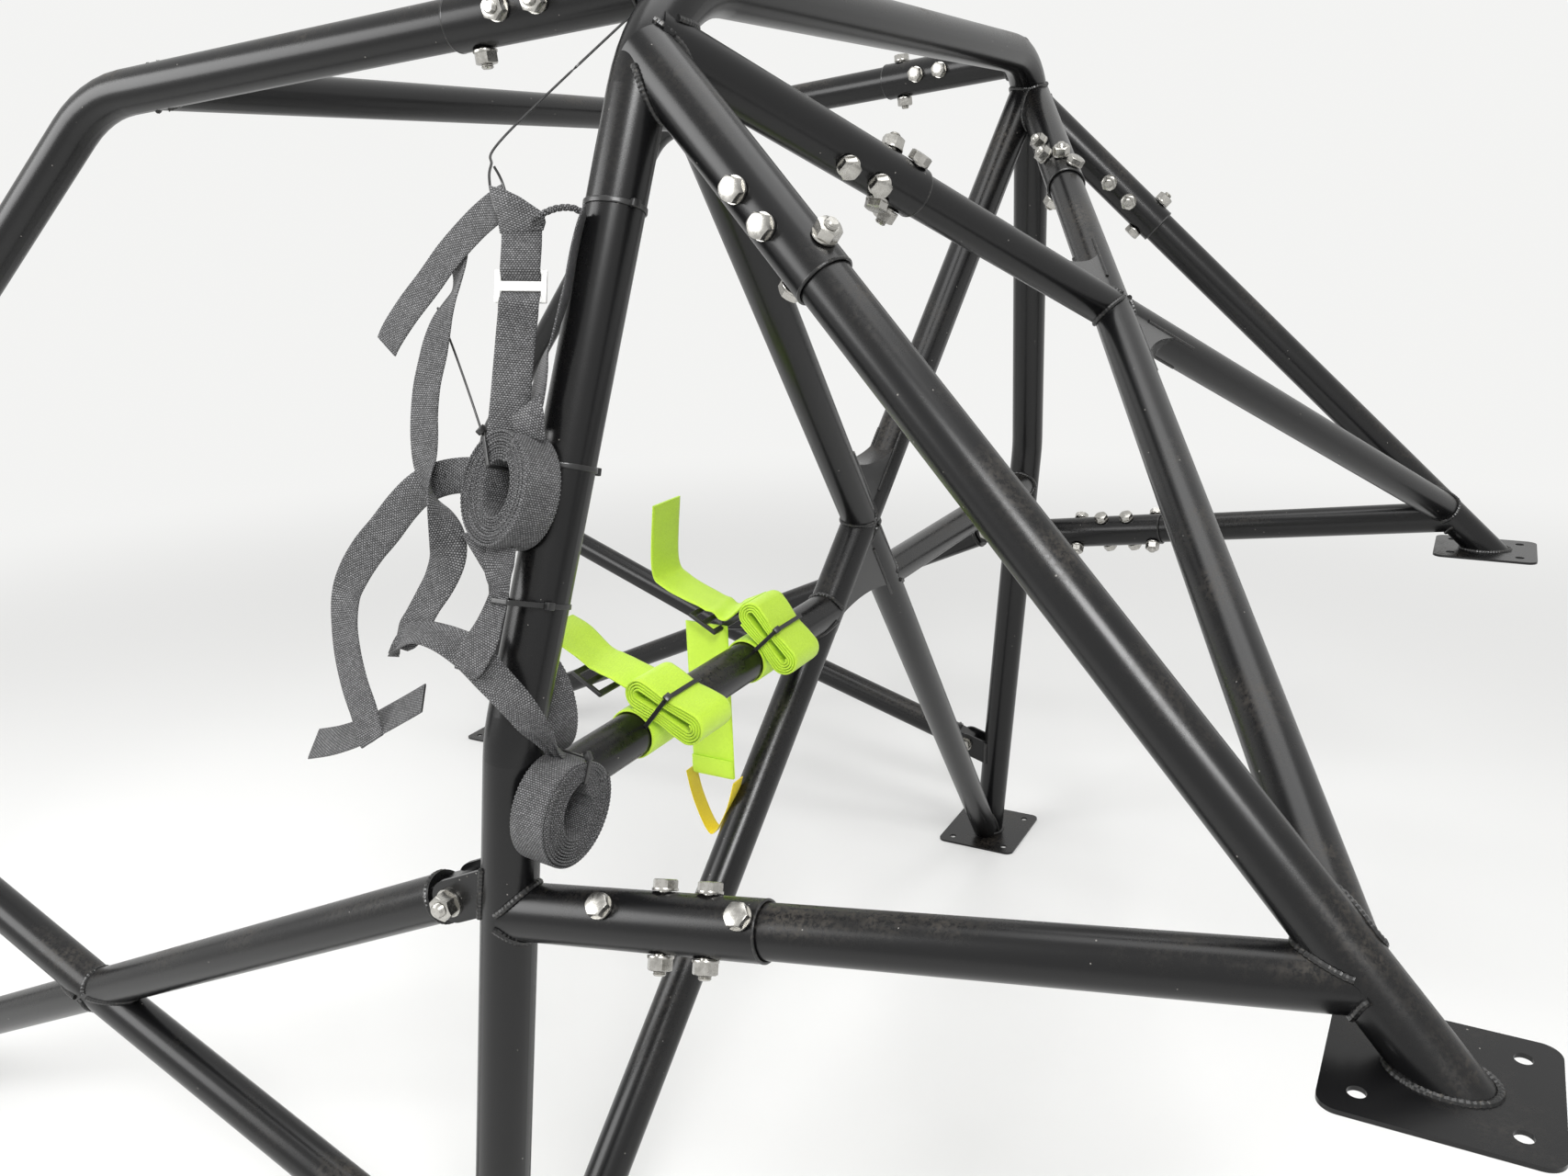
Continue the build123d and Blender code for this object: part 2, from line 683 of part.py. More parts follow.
belt_rolls_made = []
belt_straps_made = []
adjusters_made = []
for place, tilt, slide, route in belts:
    belt_plane = Plane(
        bar_axis_point + Vector(place - belt_width, 0, 0), x_dir=(0, 1, 0), z_dir=(1, 0, 0)
    )
    roll_along = Vector(cos(radians(tilt)), -sin(radians(tilt)), 0)
    roll_up = Vector(sin(radians(tilt)), cos(radians(tilt)), 0)
    roll_centre = roll_up * roll_rise + roll_along * slide
    with BuildPart() as belt_roll:
        with BuildSketch(belt_plane):
            with Locations(Location(roll_centre, (0, 0, -tilt))):
                SlotOverall(belt_roll_length, belt_roll_thickness)
        extrude(amount=belt_width)
    belt_rolls_made.append(belt_roll.part)

    front = roll_centre - roll_along * ((belt_roll_length + belt_sheet) / 2 + soft_gap)
    belt_strap = strap(belt_plane, ((front.X, front.Y),) + route, belt_sheet, belt_width)
    belt_straps_made.append(belt_strap)

    low = Vector(route[0][0], route[0][1], 0)
    high = Vector(route[1][0], route[1][1], 0)
    rise = (high - low).normalized()
    under = Vector(-rise.Y, rise.X, 0)
    depth = belt_sheet / 2 + soft_gap + adjuster_sheet / 2
    adjuster_centre = (low + high) * 0.5 + under * depth
    adjuster_origin = belt_plane.from_local_coords(adjuster_centre + Vector(0, 0, belt_width / 2))
    adjuster_normal = Vector(0, under.X, under.Y)
    with BuildPart() as adjuster:
        with BuildSketch(Plane(adjuster_origin, x_dir=(1, 0, 0), z_dir=adjuster_normal)):
            RectangleRounded(*adjuster_size, buckle_corner)
            with GridLocations(0, adjuster_slot_pitch, 1, 2):
                SlotOverall(belt_width, adjuster_slot, mode=Mode.SUBTRACT)
        extrude(amount=adjuster_sheet / 2, both=True)
    adjusters_made.append(adjuster.part)

# The far belt's tail hangs from its adjuster, edge on to the bar
adjuster_low = adjusters_made[-1].vertices().sort_by(Axis.Z)[0].Z
tail_foot = bar_axis_point + Vector(belt_tail_place, belt_tail_behind, -belt_tail_drop)
tail_height = adjuster_low - soft_gap - tail_foot.Z
with BuildPart() as belt_tail:
    with Locations(tail_foot):
        Box(belt_sheet, belt_width, tail_height, align=(Align.CENTER, Align.CENTER, Align.MIN))

for name, pieces in (
    ("belt_rolls", belt_rolls_made),
    ("belt_straps", belt_straps_made + [belt_tail.part]),
    ("belt_adjusters", adjusters_made),
):
    with BuildPart() as gathered:
        for piece in pieces:
            add(piece)
    save(gathered.part, name)
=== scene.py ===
import bpy
import bmesh
import json
import random
from math import ceil, cos, exp, pi, radians, sin, sqrt, tan
from mathutils import Matrix, Vector
from mathutils.bvhtree import BVHTree

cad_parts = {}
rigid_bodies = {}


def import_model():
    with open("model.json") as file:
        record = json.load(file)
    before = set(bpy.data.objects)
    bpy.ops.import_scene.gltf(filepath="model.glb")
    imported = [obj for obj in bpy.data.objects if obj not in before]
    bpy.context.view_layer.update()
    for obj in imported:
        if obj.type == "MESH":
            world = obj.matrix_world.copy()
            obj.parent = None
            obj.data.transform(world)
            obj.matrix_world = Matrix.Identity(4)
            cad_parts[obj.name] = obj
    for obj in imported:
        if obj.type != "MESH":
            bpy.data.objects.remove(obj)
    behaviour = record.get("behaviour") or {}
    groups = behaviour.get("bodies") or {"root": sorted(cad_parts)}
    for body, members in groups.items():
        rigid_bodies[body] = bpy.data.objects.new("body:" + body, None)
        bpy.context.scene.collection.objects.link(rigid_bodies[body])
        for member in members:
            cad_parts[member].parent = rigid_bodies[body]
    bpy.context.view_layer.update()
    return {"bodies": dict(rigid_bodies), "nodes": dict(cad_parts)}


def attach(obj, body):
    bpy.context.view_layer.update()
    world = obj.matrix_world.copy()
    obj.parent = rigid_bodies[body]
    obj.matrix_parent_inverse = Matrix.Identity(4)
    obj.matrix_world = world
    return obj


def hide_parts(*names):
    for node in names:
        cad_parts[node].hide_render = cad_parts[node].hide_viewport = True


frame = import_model()
NODES = frame["nodes"]
BODY = next(iter(frame["bodies"]))
random.seed(7)

# Metres, with MM millimetres in one. X points to the left side of the car, Y to its tail and Z up,
# as in the CAD.
MM = 1000.0
HOOP_OD = 0.045
BAR_OD = 0.040
BRACE_OD = 0.038
BRACE_SLEEVE_OD = 0.043
RAKE = radians(5.6)
FOOT_HALF_WIDTH = 0.648
WAIST_HEIGHT = 0.689
WAIST_HALF_WIDTH = 0.607
UPPER_LEAN = radians(18.2)
HOOP_HEIGHT = 1.229
HOOP_Y = 0.1805

HARNESS_BAR_HEIGHT = 0.628
SIDE_BAR_HEIGHT = 0.543
STAY_HEIGHT = HOOP_HEIGHT - 0.053
BRACE_HEIGHT = HOOP_HEIGHT - 0.042
DIAGONAL_HEIGHT = HOOP_HEIGHT - 0.033
DIAGONAL_TOP_HALF_WIDTH = 0.430
DIAGONAL_FOOT = (0.622, 0.016)
REAR_FOOT = Vector((0.592, HOOP_Y + 0.699, 0.589))
FRONT_FOOT = Vector((0.640, HOOP_Y - 1.060, 0))
KNEE = Vector((0.622, HOOP_Y - 1.020, 0.628))
ROOF_CORNER = Vector((0.470, HOOP_Y - 0.480, HOOP_HEIGHT - 0.057))
ROOF_END_HALF_WIDTH = 0.404
SLEEVES = {"stay": 0.231, "brace": 0.275, "side": 0.227, "roof": 0.200}

UP = Vector((0, 0, 1))
BACK = Vector((0, 1, 0))
WIDE = Vector((1, 0, 0))
SIDES = (("left", 1), ("right", -1))


def hoop_point(x, height):
    """A point of the hoop's plane: sideways place, and distance from the floor along the plane."""
    return Vector((x, HOOP_Y + height * sin(RAKE), height * cos(RAKE)))


def leg_half_width(height):
    """How far the leg's axis is from the middle at a height along the hoop's plane."""
    if height < WAIST_HEIGHT:
        return FOOT_HALF_WIDTH + (WAIST_HALF_WIDTH - FOOT_HALF_WIDTH) * height / WAIST_HEIGHT
    return WAIST_HALF_WIDTH - (height - WAIST_HEIGHT) * tan(UPPER_LEAN)


def leg_point(height):
    """A point on the left leg's axis."""
    return hoop_point(leg_half_width(height), height)


def side_of(point, side):
    """The point on the left side, or its twin on the right."""
    return Vector((point.x * side, point.y, point.z))


def along(start, end, distance):
    """The point at a distance from start towards end."""
    return start + (end - start).normalized() * distance


# Materials
class Nodes:
    """A node tree, with short ways to the nodes that this scene uses."""

    def __init__(self, tree):
        self.tree = tree

    def feed(self, node, **inputs):
        """Set a node's inputs, or link them where the value is another node's output."""
        for key, value in inputs.items():
            socket = node.inputs[int(key[1:]) if key[1:].isdigit() else key.replace("_", " ")]
            if isinstance(value, bpy.types.NodeSocket):
                self.tree.links.new(value, socket)
            else:
                socket.default_value = value
        return node

    def add(self, kind, operation=None, **inputs):
        """A new node with its operation and its inputs."""
        node = self.tree.nodes.new(kind)
        if operation:
            node.operation = operation
        return self.feed(node, **inputs)

    def math(self, operation, *values):
        """The output of one Math node."""
        inputs = {f"i{k}": value for k, value in enumerate(values)}
        return self.add("ShaderNodeMath", operation, **inputs).outputs[0]

    def place(self):
        """The object's own coordinates."""
        return self.add("ShaderNodeTexCoord").outputs["Object"]

    def noise(self, where, scale, detail, roughness=0.5):
        """Noise over some coordinates."""
        node = self.add("ShaderNodeTexNoise", Vector=where, Scale=scale, Detail=detail, Roughness=roughness)
        return node.outputs["Fac"]

    def mixed(self, factor, first, second):
        """A colour between two, by a factor."""
        mix = self.add("ShaderNodeMix")
        mix.data_type = "RGBA"
        for key, value in (("Factor", factor), ("A", first), ("B", second)):
            slot = [k for k, item in enumerate(mix.inputs) if item.name == key and item.enabled][0]
            self.feed(mix, **{f"i{slot}": value})
        return [item for item in mix.outputs if item.enabled][0]

    def ramp(self, value, low, high):
        """A factor that rises from 0 at low to 1 at high."""
        node = self.add("ShaderNodeMapRange", Value=value, From_Min=low, From_Max=high)
        node.interpolation_type = "SMOOTHSTEP"
        return node.outputs["Result"]

    def spread(self, value, low, high):
        """A factor from 0 to 1, laid out between two numbers."""
        return self.add("ShaderNodeMapRange", Value=value, To_Min=low, To_Max=high).outputs["Result"]

    def bump(self, height, strength, distance):
        """The normal of a relief."""
        node = self.add("ShaderNodeBump", Height=height, Strength=strength, Distance=distance)
        return node.outputs["Normal"]


def new_material(name):
    """A node material, its nodes and its Principled shader."""
    material = bpy.data.materials.new(name)
    material.use_nodes = True
    return material, Nodes(material.node_tree), material.node_tree.nodes["Principled BSDF"]


def painted_steel():
    """Satin black powder coat with fine grain, brown dust on what faces up, and pale specks."""
    material, nodes, shader = new_material("black_tube")
    where = nodes.place()
    grain = nodes.noise(where, 1100.0, 3.0)
    patches = nodes.ramp(nodes.noise(where, 9.0, 7.0, 0.65), 0.46, 0.70)
    powder = nodes.ramp(nodes.noise(where, 260.0, 5.0, 0.75), 0.40, 0.66)
    normal = nodes.add("ShaderNodeNewGeometry").outputs["Normal"]
    upward = nodes.ramp(nodes.add("ShaderNodeSeparateXYZ", Vector=normal).outputs["Z"], 0.1, 0.95)
    settled = nodes.math("MULTIPLY", nodes.math("MULTIPLY", patches, powder), upward)
    dust = nodes.math("MULTIPLY", settled, 0.30)
    cells = nodes.add("ShaderNodeTexVoronoi", Vector=where, Scale=120.0, Randomness=1.0).outputs
    dot = nodes.math("LESS_THAN", cells["Distance"], 0.075)
    sparse = nodes.add("ShaderNodeSeparateColor", Color=cells["Color"]).outputs["Red"]
    chosen = nodes.math("GREATER_THAN", sparse, 0.86)
    speck = nodes.math("MULTIPLY", nodes.math("MULTIPLY", dot, chosen), 0.45)
    colour = nodes.mixed(dust, (0.0040, 0.0040, 0.0043, 1), (0.16, 0.135, 0.105, 1))
    nodes.feed(
        shader, Base_Color=nodes.mixed(speck, colour, (0.42, 0.40, 0.37, 1)),
        Roughness=nodes.spread(settled, 0.27, 0.60), Normal=nodes.bump(grain, 0.05, 0.0003),
        Specular_IOR_Level=0.36,
    )
    return material


def weld_steel():
    """The same coat over weld beads, rougher and worn at the ripples."""
    material, nodes, shader = new_material("black_weld")
    fine = nodes.noise(nodes.place(), 420.0, 4.0)
    wear = nodes.math("MULTIPLY", nodes.ramp(fine, 0.56, 0.74), 0.35)
    nodes.feed(
        shader, Base_Color=nodes.mixed(wear, (0.008, 0.008, 0.008, 1), (0.16, 0.145, 0.125, 1)),
        Roughness=0.30, Normal=nodes.bump(fine, 0.25, 0.0006),
    )
    return material


def zinc():
    """Bright zinc plate with faint streaks."""
    material, nodes, shader = new_material("zinc")
    cloud = nodes.noise(nodes.place(), 210.0, 4.0)
    nodes.feed(
        shader, Base_Color=nodes.mixed(cloud, (0.27, 0.26, 0.24, 1), (0.56, 0.55, 0.52, 1)),
        Roughness=nodes.spread(cloud, 0.16, 0.38), Normal=nodes.bump(cloud, 0.08, 0.0005), Metallic=1.0,
    )
    return material


def woven(name, dark, light, across, pitch, depth, sheen):
    """Webbing: staggered rows of raised yarns, in millimetres of the mesh's own flat coordinates, with a
    painted highlight on each yarn's crest and painted shade in the gaps between yarns.
    """
    material, nodes, shader = new_material(name)
    math = nodes.math
    flat = nodes.add("ShaderNodeUVMap")
    flat.uv_map = "flat"
    scaled = nodes.add("ShaderNodeVectorMath", "SCALE", i0=flat.outputs[0], Scale=MM).outputs[0]
    place = nodes.add("ShaderNodeSeparateXYZ", Vector=scaled).outputs
    row = math("DIVIDE", place["Y"], pitch)
    half = math("MULTIPLY", math("FLOOR", row), 0.5)
    column = math("ADD", math("DIVIDE", place["X"], across), half)
    crest = math("SINE", math("MULTIPLY", math("FRACT", row), pi))
    crown = math("SINE", math("MULTIPLY", math("FRACT", column), pi))
    swell = math("MULTIPLY", crest, crown)
    cell = nodes.add("ShaderNodeCombineXYZ", X=math("FLOOR", column), Y=math("FLOOR", row)).outputs[0]
    chance = nodes.add("ShaderNodeTexWhiteNoise", Vector=cell).outputs["Value"]
    hairs = nodes.noise(scaled, 2.2, 3.0)
    soil = nodes.noise(scaled, 0.05, 4.0)
    # Painted light: the swell of each yarn puts the light colour on its crest as a painted highlight and the
    # dark colour in the gaps as painted shade, varied at random by hairs, per-yarn chance and soil.
    shade = swell
    for share, gain, base in ((hairs, 1.3, 0.15), (chance, 0.7, 0.65), (soil, 0.9, 0.55)):
        shade = math("MULTIPLY", shade, math("MULTIPLY_ADD", share, gain, base))
    shade = nodes.add("ShaderNodeClamp", Value=shade).outputs[0]
    height = math("MULTIPLY_ADD", hairs, 0.25, math("POWER", swell, 0.7))
    nodes.feed(
        shader, Base_Color=nodes.mixed(shade, dark, light), Roughness=0.42,
        Normal=nodes.bump(height, 0.9, depth), Sheen_Weight=sheen, Sheen_Roughness=0.4,
        Specular_IOR_Level=0.45,
    )
    return material


def moulded(name, colour, second, roughness):
    """Moulded nylon with faint mottling."""
    material, nodes, shader = new_material(name)
    cloud = nodes.noise(nodes.place(), 320.0, 3.0)
    nodes.feed(
        shader, Base_Color=nodes.mixed(cloud, colour, second), Roughness=roughness,
        Normal=nodes.bump(cloud, 0.06, 0.0003),
    )
    return material


MATERIALS = {
    "black_tube": painted_steel(),
    "black_weld": weld_steel(),
    "zinc": zinc(),
    # For each webbing, the first colour is the painted shade between the yarns and the second is the painted
    # highlight on their crests.
    "net_webbing": woven(
        "net_webbing", (0.0035, 0.0035, 0.0040, 1), (0.26, 0.26, 0.265, 1), 2.2, 1.6, 0.0010, 0.04
    ),
    "belt_webbing": woven(
        "belt_webbing", (0.42, 0.66, 0.022, 1), (0.68, 0.94, 0.070, 1), 1.6, 0.8, 0.00025, 0.15
    ),
    "loop_webbing": woven(
        "loop_webbing", (0.78, 0.58, 0.008, 1), (1.0, 0.86, 0.03, 1), 1.6, 0.8, 0.00025, 0.15
    ),
    "buckle": moulded("buckle", (0.78, 0.78, 0.76, 1), (0.70, 0.70, 0.68, 1), 0.3),
    "adjuster": moulded("adjuster", (0.010, 0.010, 0.010, 1), (0.020, 0.020, 0.021, 1), 0.42),
    "tie": moulded("tie", (0.012, 0.012, 0.012, 1), (0.022, 0.022, 0.022, 1), 0.3),
}

for node in NODES.values():
    node.data.materials.clear()
    node.data.materials.append(MATERIALS["black_tube"])


# Shapes are lists of vertices, faces and flat coordinates, gathered into one piece each
def loft(rings, closed=False, caps=True):
    """A skin over rings of points, with flat coordinates in metres."""
    count = len(rings[0])
    vertices = [point for ring in rings for point in ring]
    around = [0.0]
    for j in range(count):
        around.append(around[-1] + (rings[0][(j + 1) % count] - rings[0][j]).length)
    centres = [sum(ring, Vector()) / count for ring in rings]
    lengths = [0.0]
    for before, after in zip(centres, centres[1:] + centres[:1]):
        lengths.append(lengths[-1] + (after - before).length)
    faces = []
    flats = []
    for i in range(len(rings) if closed else len(rings) - 1):
        n = (i + 1) % len(rings)
        for j in range(count):
            k = (j + 1) % count
            faces.append((i * count + j, i * count + k, n * count + k, n * count + j))
            flats.append(
                (
                    (around[j], lengths[i]), (around[j + 1], lengths[i]),
                    (around[j + 1], lengths[i + 1]), (around[j], lengths[i + 1]),
                )
            )
    if caps and not closed:
        for start in (0, (len(rings) - 1) * count):
            faces.append(tuple(range(start, start + count)))
            flats.append(tuple((around[j], 0.0) for j in range(count)))
    return vertices, faces, flats


def make_piece(name, shapes, finish, replaced=(), angle=35):
    """One object out of shapes, with its finish, riding on the cage."""
    vertices = []
    faces = []
    flats = []
    for shape in shapes:
        base = len(vertices)
        vertices += shape[0]
        faces += [tuple(index + base for index in face) for face in shape[1]]
        flats += shape[2]
    mesh = bpy.data.meshes.new(name)
    mesh.from_pydata([tuple(point) for point in vertices], [], faces)
    layer = mesh.uv_layers.new(name="flat")
    corners = [corner for face in flats for corner in face]
    for loop, corner in zip(layer.data, corners):
        loop.uv = corner
    work = bmesh.new()
    work.from_mesh(mesh)
    bmesh.ops.recalc_face_normals(work, faces=work.faces)
    for face in work.faces:
        face.smooth = True
    for edge in work.edges:
        if len(edge.link_faces) == 2 and edge.calc_face_angle(0) > radians(angle):
            edge.smooth = False
    work.to_mesh(mesh)
    work.free()
    mesh.materials.append(MATERIALS[finish])
    made = bpy.data.objects.new(name, mesh)
    bpy.context.scene.collection.objects.link(made)
    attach(made, BODY)
    if replaced:
        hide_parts(*replaced)
    return made


def between(a, b, c, d, t):
    """A point of the smooth curve from b to c, a share t of the way."""
    return 0.5 * (2 * b + (c - a) * t + (2 * a - 5 * b + 4 * c - d) * t * t + (3 * b - a - 3 * c + d) * t**3)


def smooth(rows, step):
    """Rows of vectors, filled in along smooth curves through them."""
    filled = []
    for i in range(len(rows) - 1):
        near = [rows[max(i - 1, 0)], rows[i], rows[i + 1], rows[min(i + 2, len(rows) - 1)]]
        count = max(1, ceil((rows[i + 1][0] - rows[i][0]).length / step))
        for k in range(count):
            filled.append([between(*(row[item] for row in near), k / count) for item in range(len(rows[0]))])
    filled.append(list(rows[-1]))
    return filled


def tangents(points, closed=False):
    """The direction of travel at each point."""
    count = len(points)
    found = []
    for i in range(count):
        if closed:
            found.append((points[(i + 1) % count] - points[i - 1]).normalized())
        else:
            found.append((points[min(i + 1, count - 1)] - points[max(i - 1, 0)]).normalized())
    return found


# Half of a strap's section, as shares of its width and of its thickness
SECTION = (
    (-0.5, 0.0), (-0.485, 0.38), (-0.42, 0.5), (-0.21, 0.5), (0.0, 0.5),
    (0.21, 0.5), (0.42, 0.5), (0.485, 0.38), (0.5, 0.0),
)
OUTLINE = SECTION + tuple((-x, -y) for x, y in SECTION[1:-1])


def strap(rows, width, thickness, step=0.003, closed=False):
    """A flat strap along rows of (place, direction of its width, share of the width left when drawn in)."""
    filled = smooth(rows, step) if step else rows
    points = [row[0] for row in filled]
    rings = []
    for row, run in zip(filled, tangents(points, closed)):
        wide = (row[1] - run * row[1].dot(run)).normalized()
        face = run.cross(wide)
        share = row[2] if len(row) > 2 else 1.0
        pleat = max(0.0, 0.96 - share) * width * 0.2
        ring = []
        for x, y in OUTLINE:
            raised = y * thickness + pleat * cos(4 * pi * x)
            ring.append(row[0] + wide * (x * width * share) + face * raised)
        rings.append(ring)
    return loft(rings, closed)


def circle(centre, first, second, radius, count):
    """Points round a centre, from the first direction towards the second."""
    turns = [2 * pi * j / count for j in range(count)]
    return [centre + (first * cos(turn) + second * sin(turn)) * radius for turn in turns]


def tube(points, radii, closed=False, sides=10):
    """A round bead along points, with a radius at each."""
    runs = tangents(points, closed)
    side = runs[0].orthogonal().normalized()
    rings = []
    for point, run, radius in zip(points, runs, radii):
        side = (side - run * side.dot(run)).normalized()
        other = run.cross(side)
        rings.append(circle(point, side, other, radius, sides))
    return loft(rings, closed)


def lathe(start, axis, profile, sides=32, lobes=None):
    """A turned shape along an axis: profile rows of (radius, distance), changed by angle with lobes."""
    axis = axis.normalized()
    side = axis.orthogonal().normalized()
    other = axis.cross(side)
    rings = []
    for radius, distance in profile:
        ring = []
        for j in range(sides):
            turn = 2 * pi * j / sides
            r, d = lobes(radius, distance, turn) if lobes else (radius, distance)
            ring.append(start + axis * d + (side * cos(turn) + other * sin(turn)) * r)
        rings.append(ring)
    return loft(rings)


# Bolts, nuts and washers
def hexagon(start, axis, flats, height, hole=0.0):
    """A hexagon head or nut, its outer corners turned off, on a plane at start."""
    apothem = flats / 2
    round_at = apothem * 0.96

    def lobes(radius, distance, turn):
        """The hexagon's own radius and chamfer where the profile asks for its full width."""
        if radius < apothem:
            return radius, distance
        full = apothem / cos((turn % (pi / 3)) - pi / 6)
        if distance > height * 0.5:
            return full, height - (full - round_at) * 0.55
        return full, distance

    inner = hole if hole else apothem * 0.05
    profile = [(apothem, 0.0), (apothem, height), (round_at, height), (inner + 0.0006, height)]
    if hole:
        profile.append((inner, height - 0.0006))
        profile.append((inner, height * 0.5))
    return lathe(start, axis, profile, 48, lobes)


def bolt(centre, axis, span, size, flats, nut_first=False):
    """A bolt across a tube: head and washer on one side, washer, nut and thread end on the other."""
    axis = axis.normalized() * (-1 if nut_first else 1)
    sheet = size * 0.2
    head_at = centre + axis * (span / 2)
    nut_at = centre - axis * (span / 2)
    shapes = [tube([head_at, nut_at], [size / 2, size / 2], sides=16)]
    for place, way in ((head_at, axis), (nut_at, axis * -1)):
        washer = ((0.55, 0.0), (0.98, 0.0), (1.0, 0.06), (0.98, 0.2), (0.55, 0.2))
        shapes.append(lathe(place, way, [(r * size, d * size) for r, d in washer]))
    shapes.append(hexagon(head_at + axis * sheet, axis, flats, size * 0.64))
    nut_top = size * 0.86
    shapes.append(hexagon(nut_at - axis * sheet, axis * -1, flats, nut_top, size * 0.46))
    start = nut_at - axis * (sheet + nut_top * 0.5)
    rows = [(size * 0.47, 0.0)]
    pitch = size * 0.15
    for turn in range(5):
        rows.append((size * 0.50, pitch * (turn + 0.5)))
        rows.append((size * 0.44, pitch * (turn + 1)))
    rows.append((size * 0.38, pitch * 5.4))
    rows.append((size * 0.02, pitch * 5.4))
    shapes.append(lathe(start, axis * -1, rows, 20))
    return shapes


def tube_frame(run):
    """Two directions across a tube: up made square to it, and to its side."""
    up = (UP - run * UP.dot(run)).normalized()
    return up, run.cross(up)


# Sleeves: axis from the hoop, outer diameter, and bolts by distance and by angle from the top
stay_top = leg_point(STAY_HEIGHT)
brace_top = leg_point(BRACE_HEIGHT)
brace_foot = along(side_of(REAR_FOOT, -1), side_of(stay_top, -1), 0.074)
side_start = leg_point(SIDE_BAR_HEIGHT)
side_end = along(REAR_FOOT, stay_top, 0.060)
roof_end = hoop_point(ROOF_END_HALF_WIDTH, HOOP_HEIGHT)
SLEEVE_LINES = {
    "stay": (stay_top, REAR_FOOT, HOOP_OD, ((0.146, 82), (0.181, 82), (0.212, 186))),
    "brace": (
        brace_top, brace_foot, BRACE_SLEEVE_OD, ((0.190, 130), (0.225, 130), (0.261, 24), (0.239, 174)),
    ),
    "side": (side_start, side_end, HOOP_OD, ((0.100, 40), (0.216, 40), (0.141, 332), (0.179, 332))),
    "roof": (roof_end, ROOF_CORNER, HOOP_OD, ((0.110, 90), (0.145, 90), (0.178, 0))),
}
BOLT_SIZE = 0.010
BOLT_FLATS = 0.017
for side_name, side in SIDES:
    for kind, (start, end, outer, bolts) in SLEEVE_LINES.items():
        run = (end - start).normalized()
        up, across = tube_frame(run)
        shapes = []
        for distance, angle in bolts:
            place = start + run * distance
            way = up * cos(radians(angle)) + across * sin(radians(angle))
            shapes += bolt(side_of(place, side), side_of(way, side), outer + 0.001, BOLT_SIZE, BOLT_FLATS)
        make_piece(f"{kind}_sleeve_bolts_{side_name}", shapes, "zinc")

# The sleeve's mouth has a rolled lip
RING = 64
LIP = 0.0013
for side_name, side in SIDES:
    for kind, (start, end, outer, bolts) in SLEEVE_LINES.items():
        run = (end - start).normalized()
        up, across = tube_frame(run)
        centre = start + run * (SLEEVES[kind] - 0.0004)
        ring = [side_of(p, side) for p in circle(centre, up, across, outer / 2 - 0.0010, RING)]
        make_piece(f"{kind}_sleeve_lip_{side_name}", [tube(ring, [LIP] * RING, True)], "black_weld")

# Weld beads: the line where a tube meets its carriers, found on the frame itself
trees = {}


def surface_of(names):
    """A search tree over the surfaces of some CAD nodes."""
    key = tuple(names)
    if key not in trees:
        vertices = []
        faces = []
        for name in names:
            node = NODES[name]
            base = len(vertices)
            vertices += [node.matrix_world @ vertex.co for vertex in node.data.vertices]
            faces += [tuple(index + base for index in face.vertices) for face in node.data.polygons]
        trees[key] = BVHTree.FromPolygons(vertices, faces)
    return trees[key]


BEAD = 0.0026
WIDE_BEAD = 0.003
SEAM_BEAD = 0.0018
BEAD_PITCH = 0.0034
BREAK = 0.012


def rippled(points, closed, bead):
    """A bead along points, with the ripples of its passes."""
    travelled = 0.0
    radii = []
    for i, point in enumerate(points):
        travelled += (point - points[i - 1]).length if i else 0.0
        wave = 0.5 + 0.5 * cos(2 * pi * travelled / BEAD_PITCH)
        radii.append(bead * (0.86 + 0.16 * wave + random.uniform(-0.03, 0.03)))
    return tube(points, radii, closed, 8)


def refined(points, closed, step=0.0009):
    """The same line with points close enough for the ripples."""
    filled = []
    for before, after in zip(points, points[1:] + (points[:1] if closed else [])):
        count = max(1, ceil((after - before).length / step))
        filled += [before.lerp(after, k / count) for k in range(count)]
    if not closed:
        filled.append(points[-1])
    return filled


def bead_along(points, closed, bead):
    """A rippled bead along a coarse line."""
    return rippled(refined(points, closed), closed, bead)


def weld(start, towards, outer, carriers, bead=BEAD, reach=0.4):
    """Beads round a tube's end: lines from start that reach the carriers, each unbroken run a bead."""
    surface = surface_of(carriers)
    run = (towards - start).normalized()
    up, across = tube_frame(run)
    count = 96
    runs = []
    current = []
    origins = circle(start, up, across, outer / 2 + 0.0006, count)
    hits = [surface.ray_cast(origin, run, reach)[0] for origin in origins]
    for place in hits:
        if place is None or (current and (place - current[-1]).length > BREAK):
            if current:
                runs.append(current)
            current = []
        if place is not None:
            current.append(place)
    if current:
        runs.append(current)
    if len(runs) == 1 and len(runs[0]) == count:
        return [bead_along(runs[0], True, bead)]
    if len(runs) > 1 and hits[0] is not None and hits[-1] is not None:
        if (runs[0][0] - runs[-1][-1]).length < BREAK:
            runs[0] = runs.pop() + runs[0]
    return [bead_along(points, False, bead) for points in runs if len(points) > 4]


diagonal_top = hoop_point(DIAGONAL_TOP_HALF_WIDTH, DIAGONAL_HEIGHT)
diagonal_foot = hoop_point(-DIAGONAL_FOOT[0], DIAGONAL_FOOT[1])
cross_share = DIAGONAL_TOP_HALF_WIDTH / (DIAGONAL_TOP_HALF_WIDTH + DIAGONAL_FOOT[0])
hoop_cross = diagonal_top.lerp(diagonal_foot, cross_share)
rear_cross = brace_top.lerp(brace_foot, brace_top.x / (brace_top.x - brace_foot.x))
other_top = side_of(diagonal_top, -1)
other_foot = side_of(diagonal_foot, -1)
bar_left = leg_point(HARNESS_BAR_HEIGHT)
bar_middle = hoop_point(0, HARNESS_BAR_HEIGHT)
hoop_tubes = ["main_hoop", "hoop_diagonal_main", "hoop_diagonal_upper"]

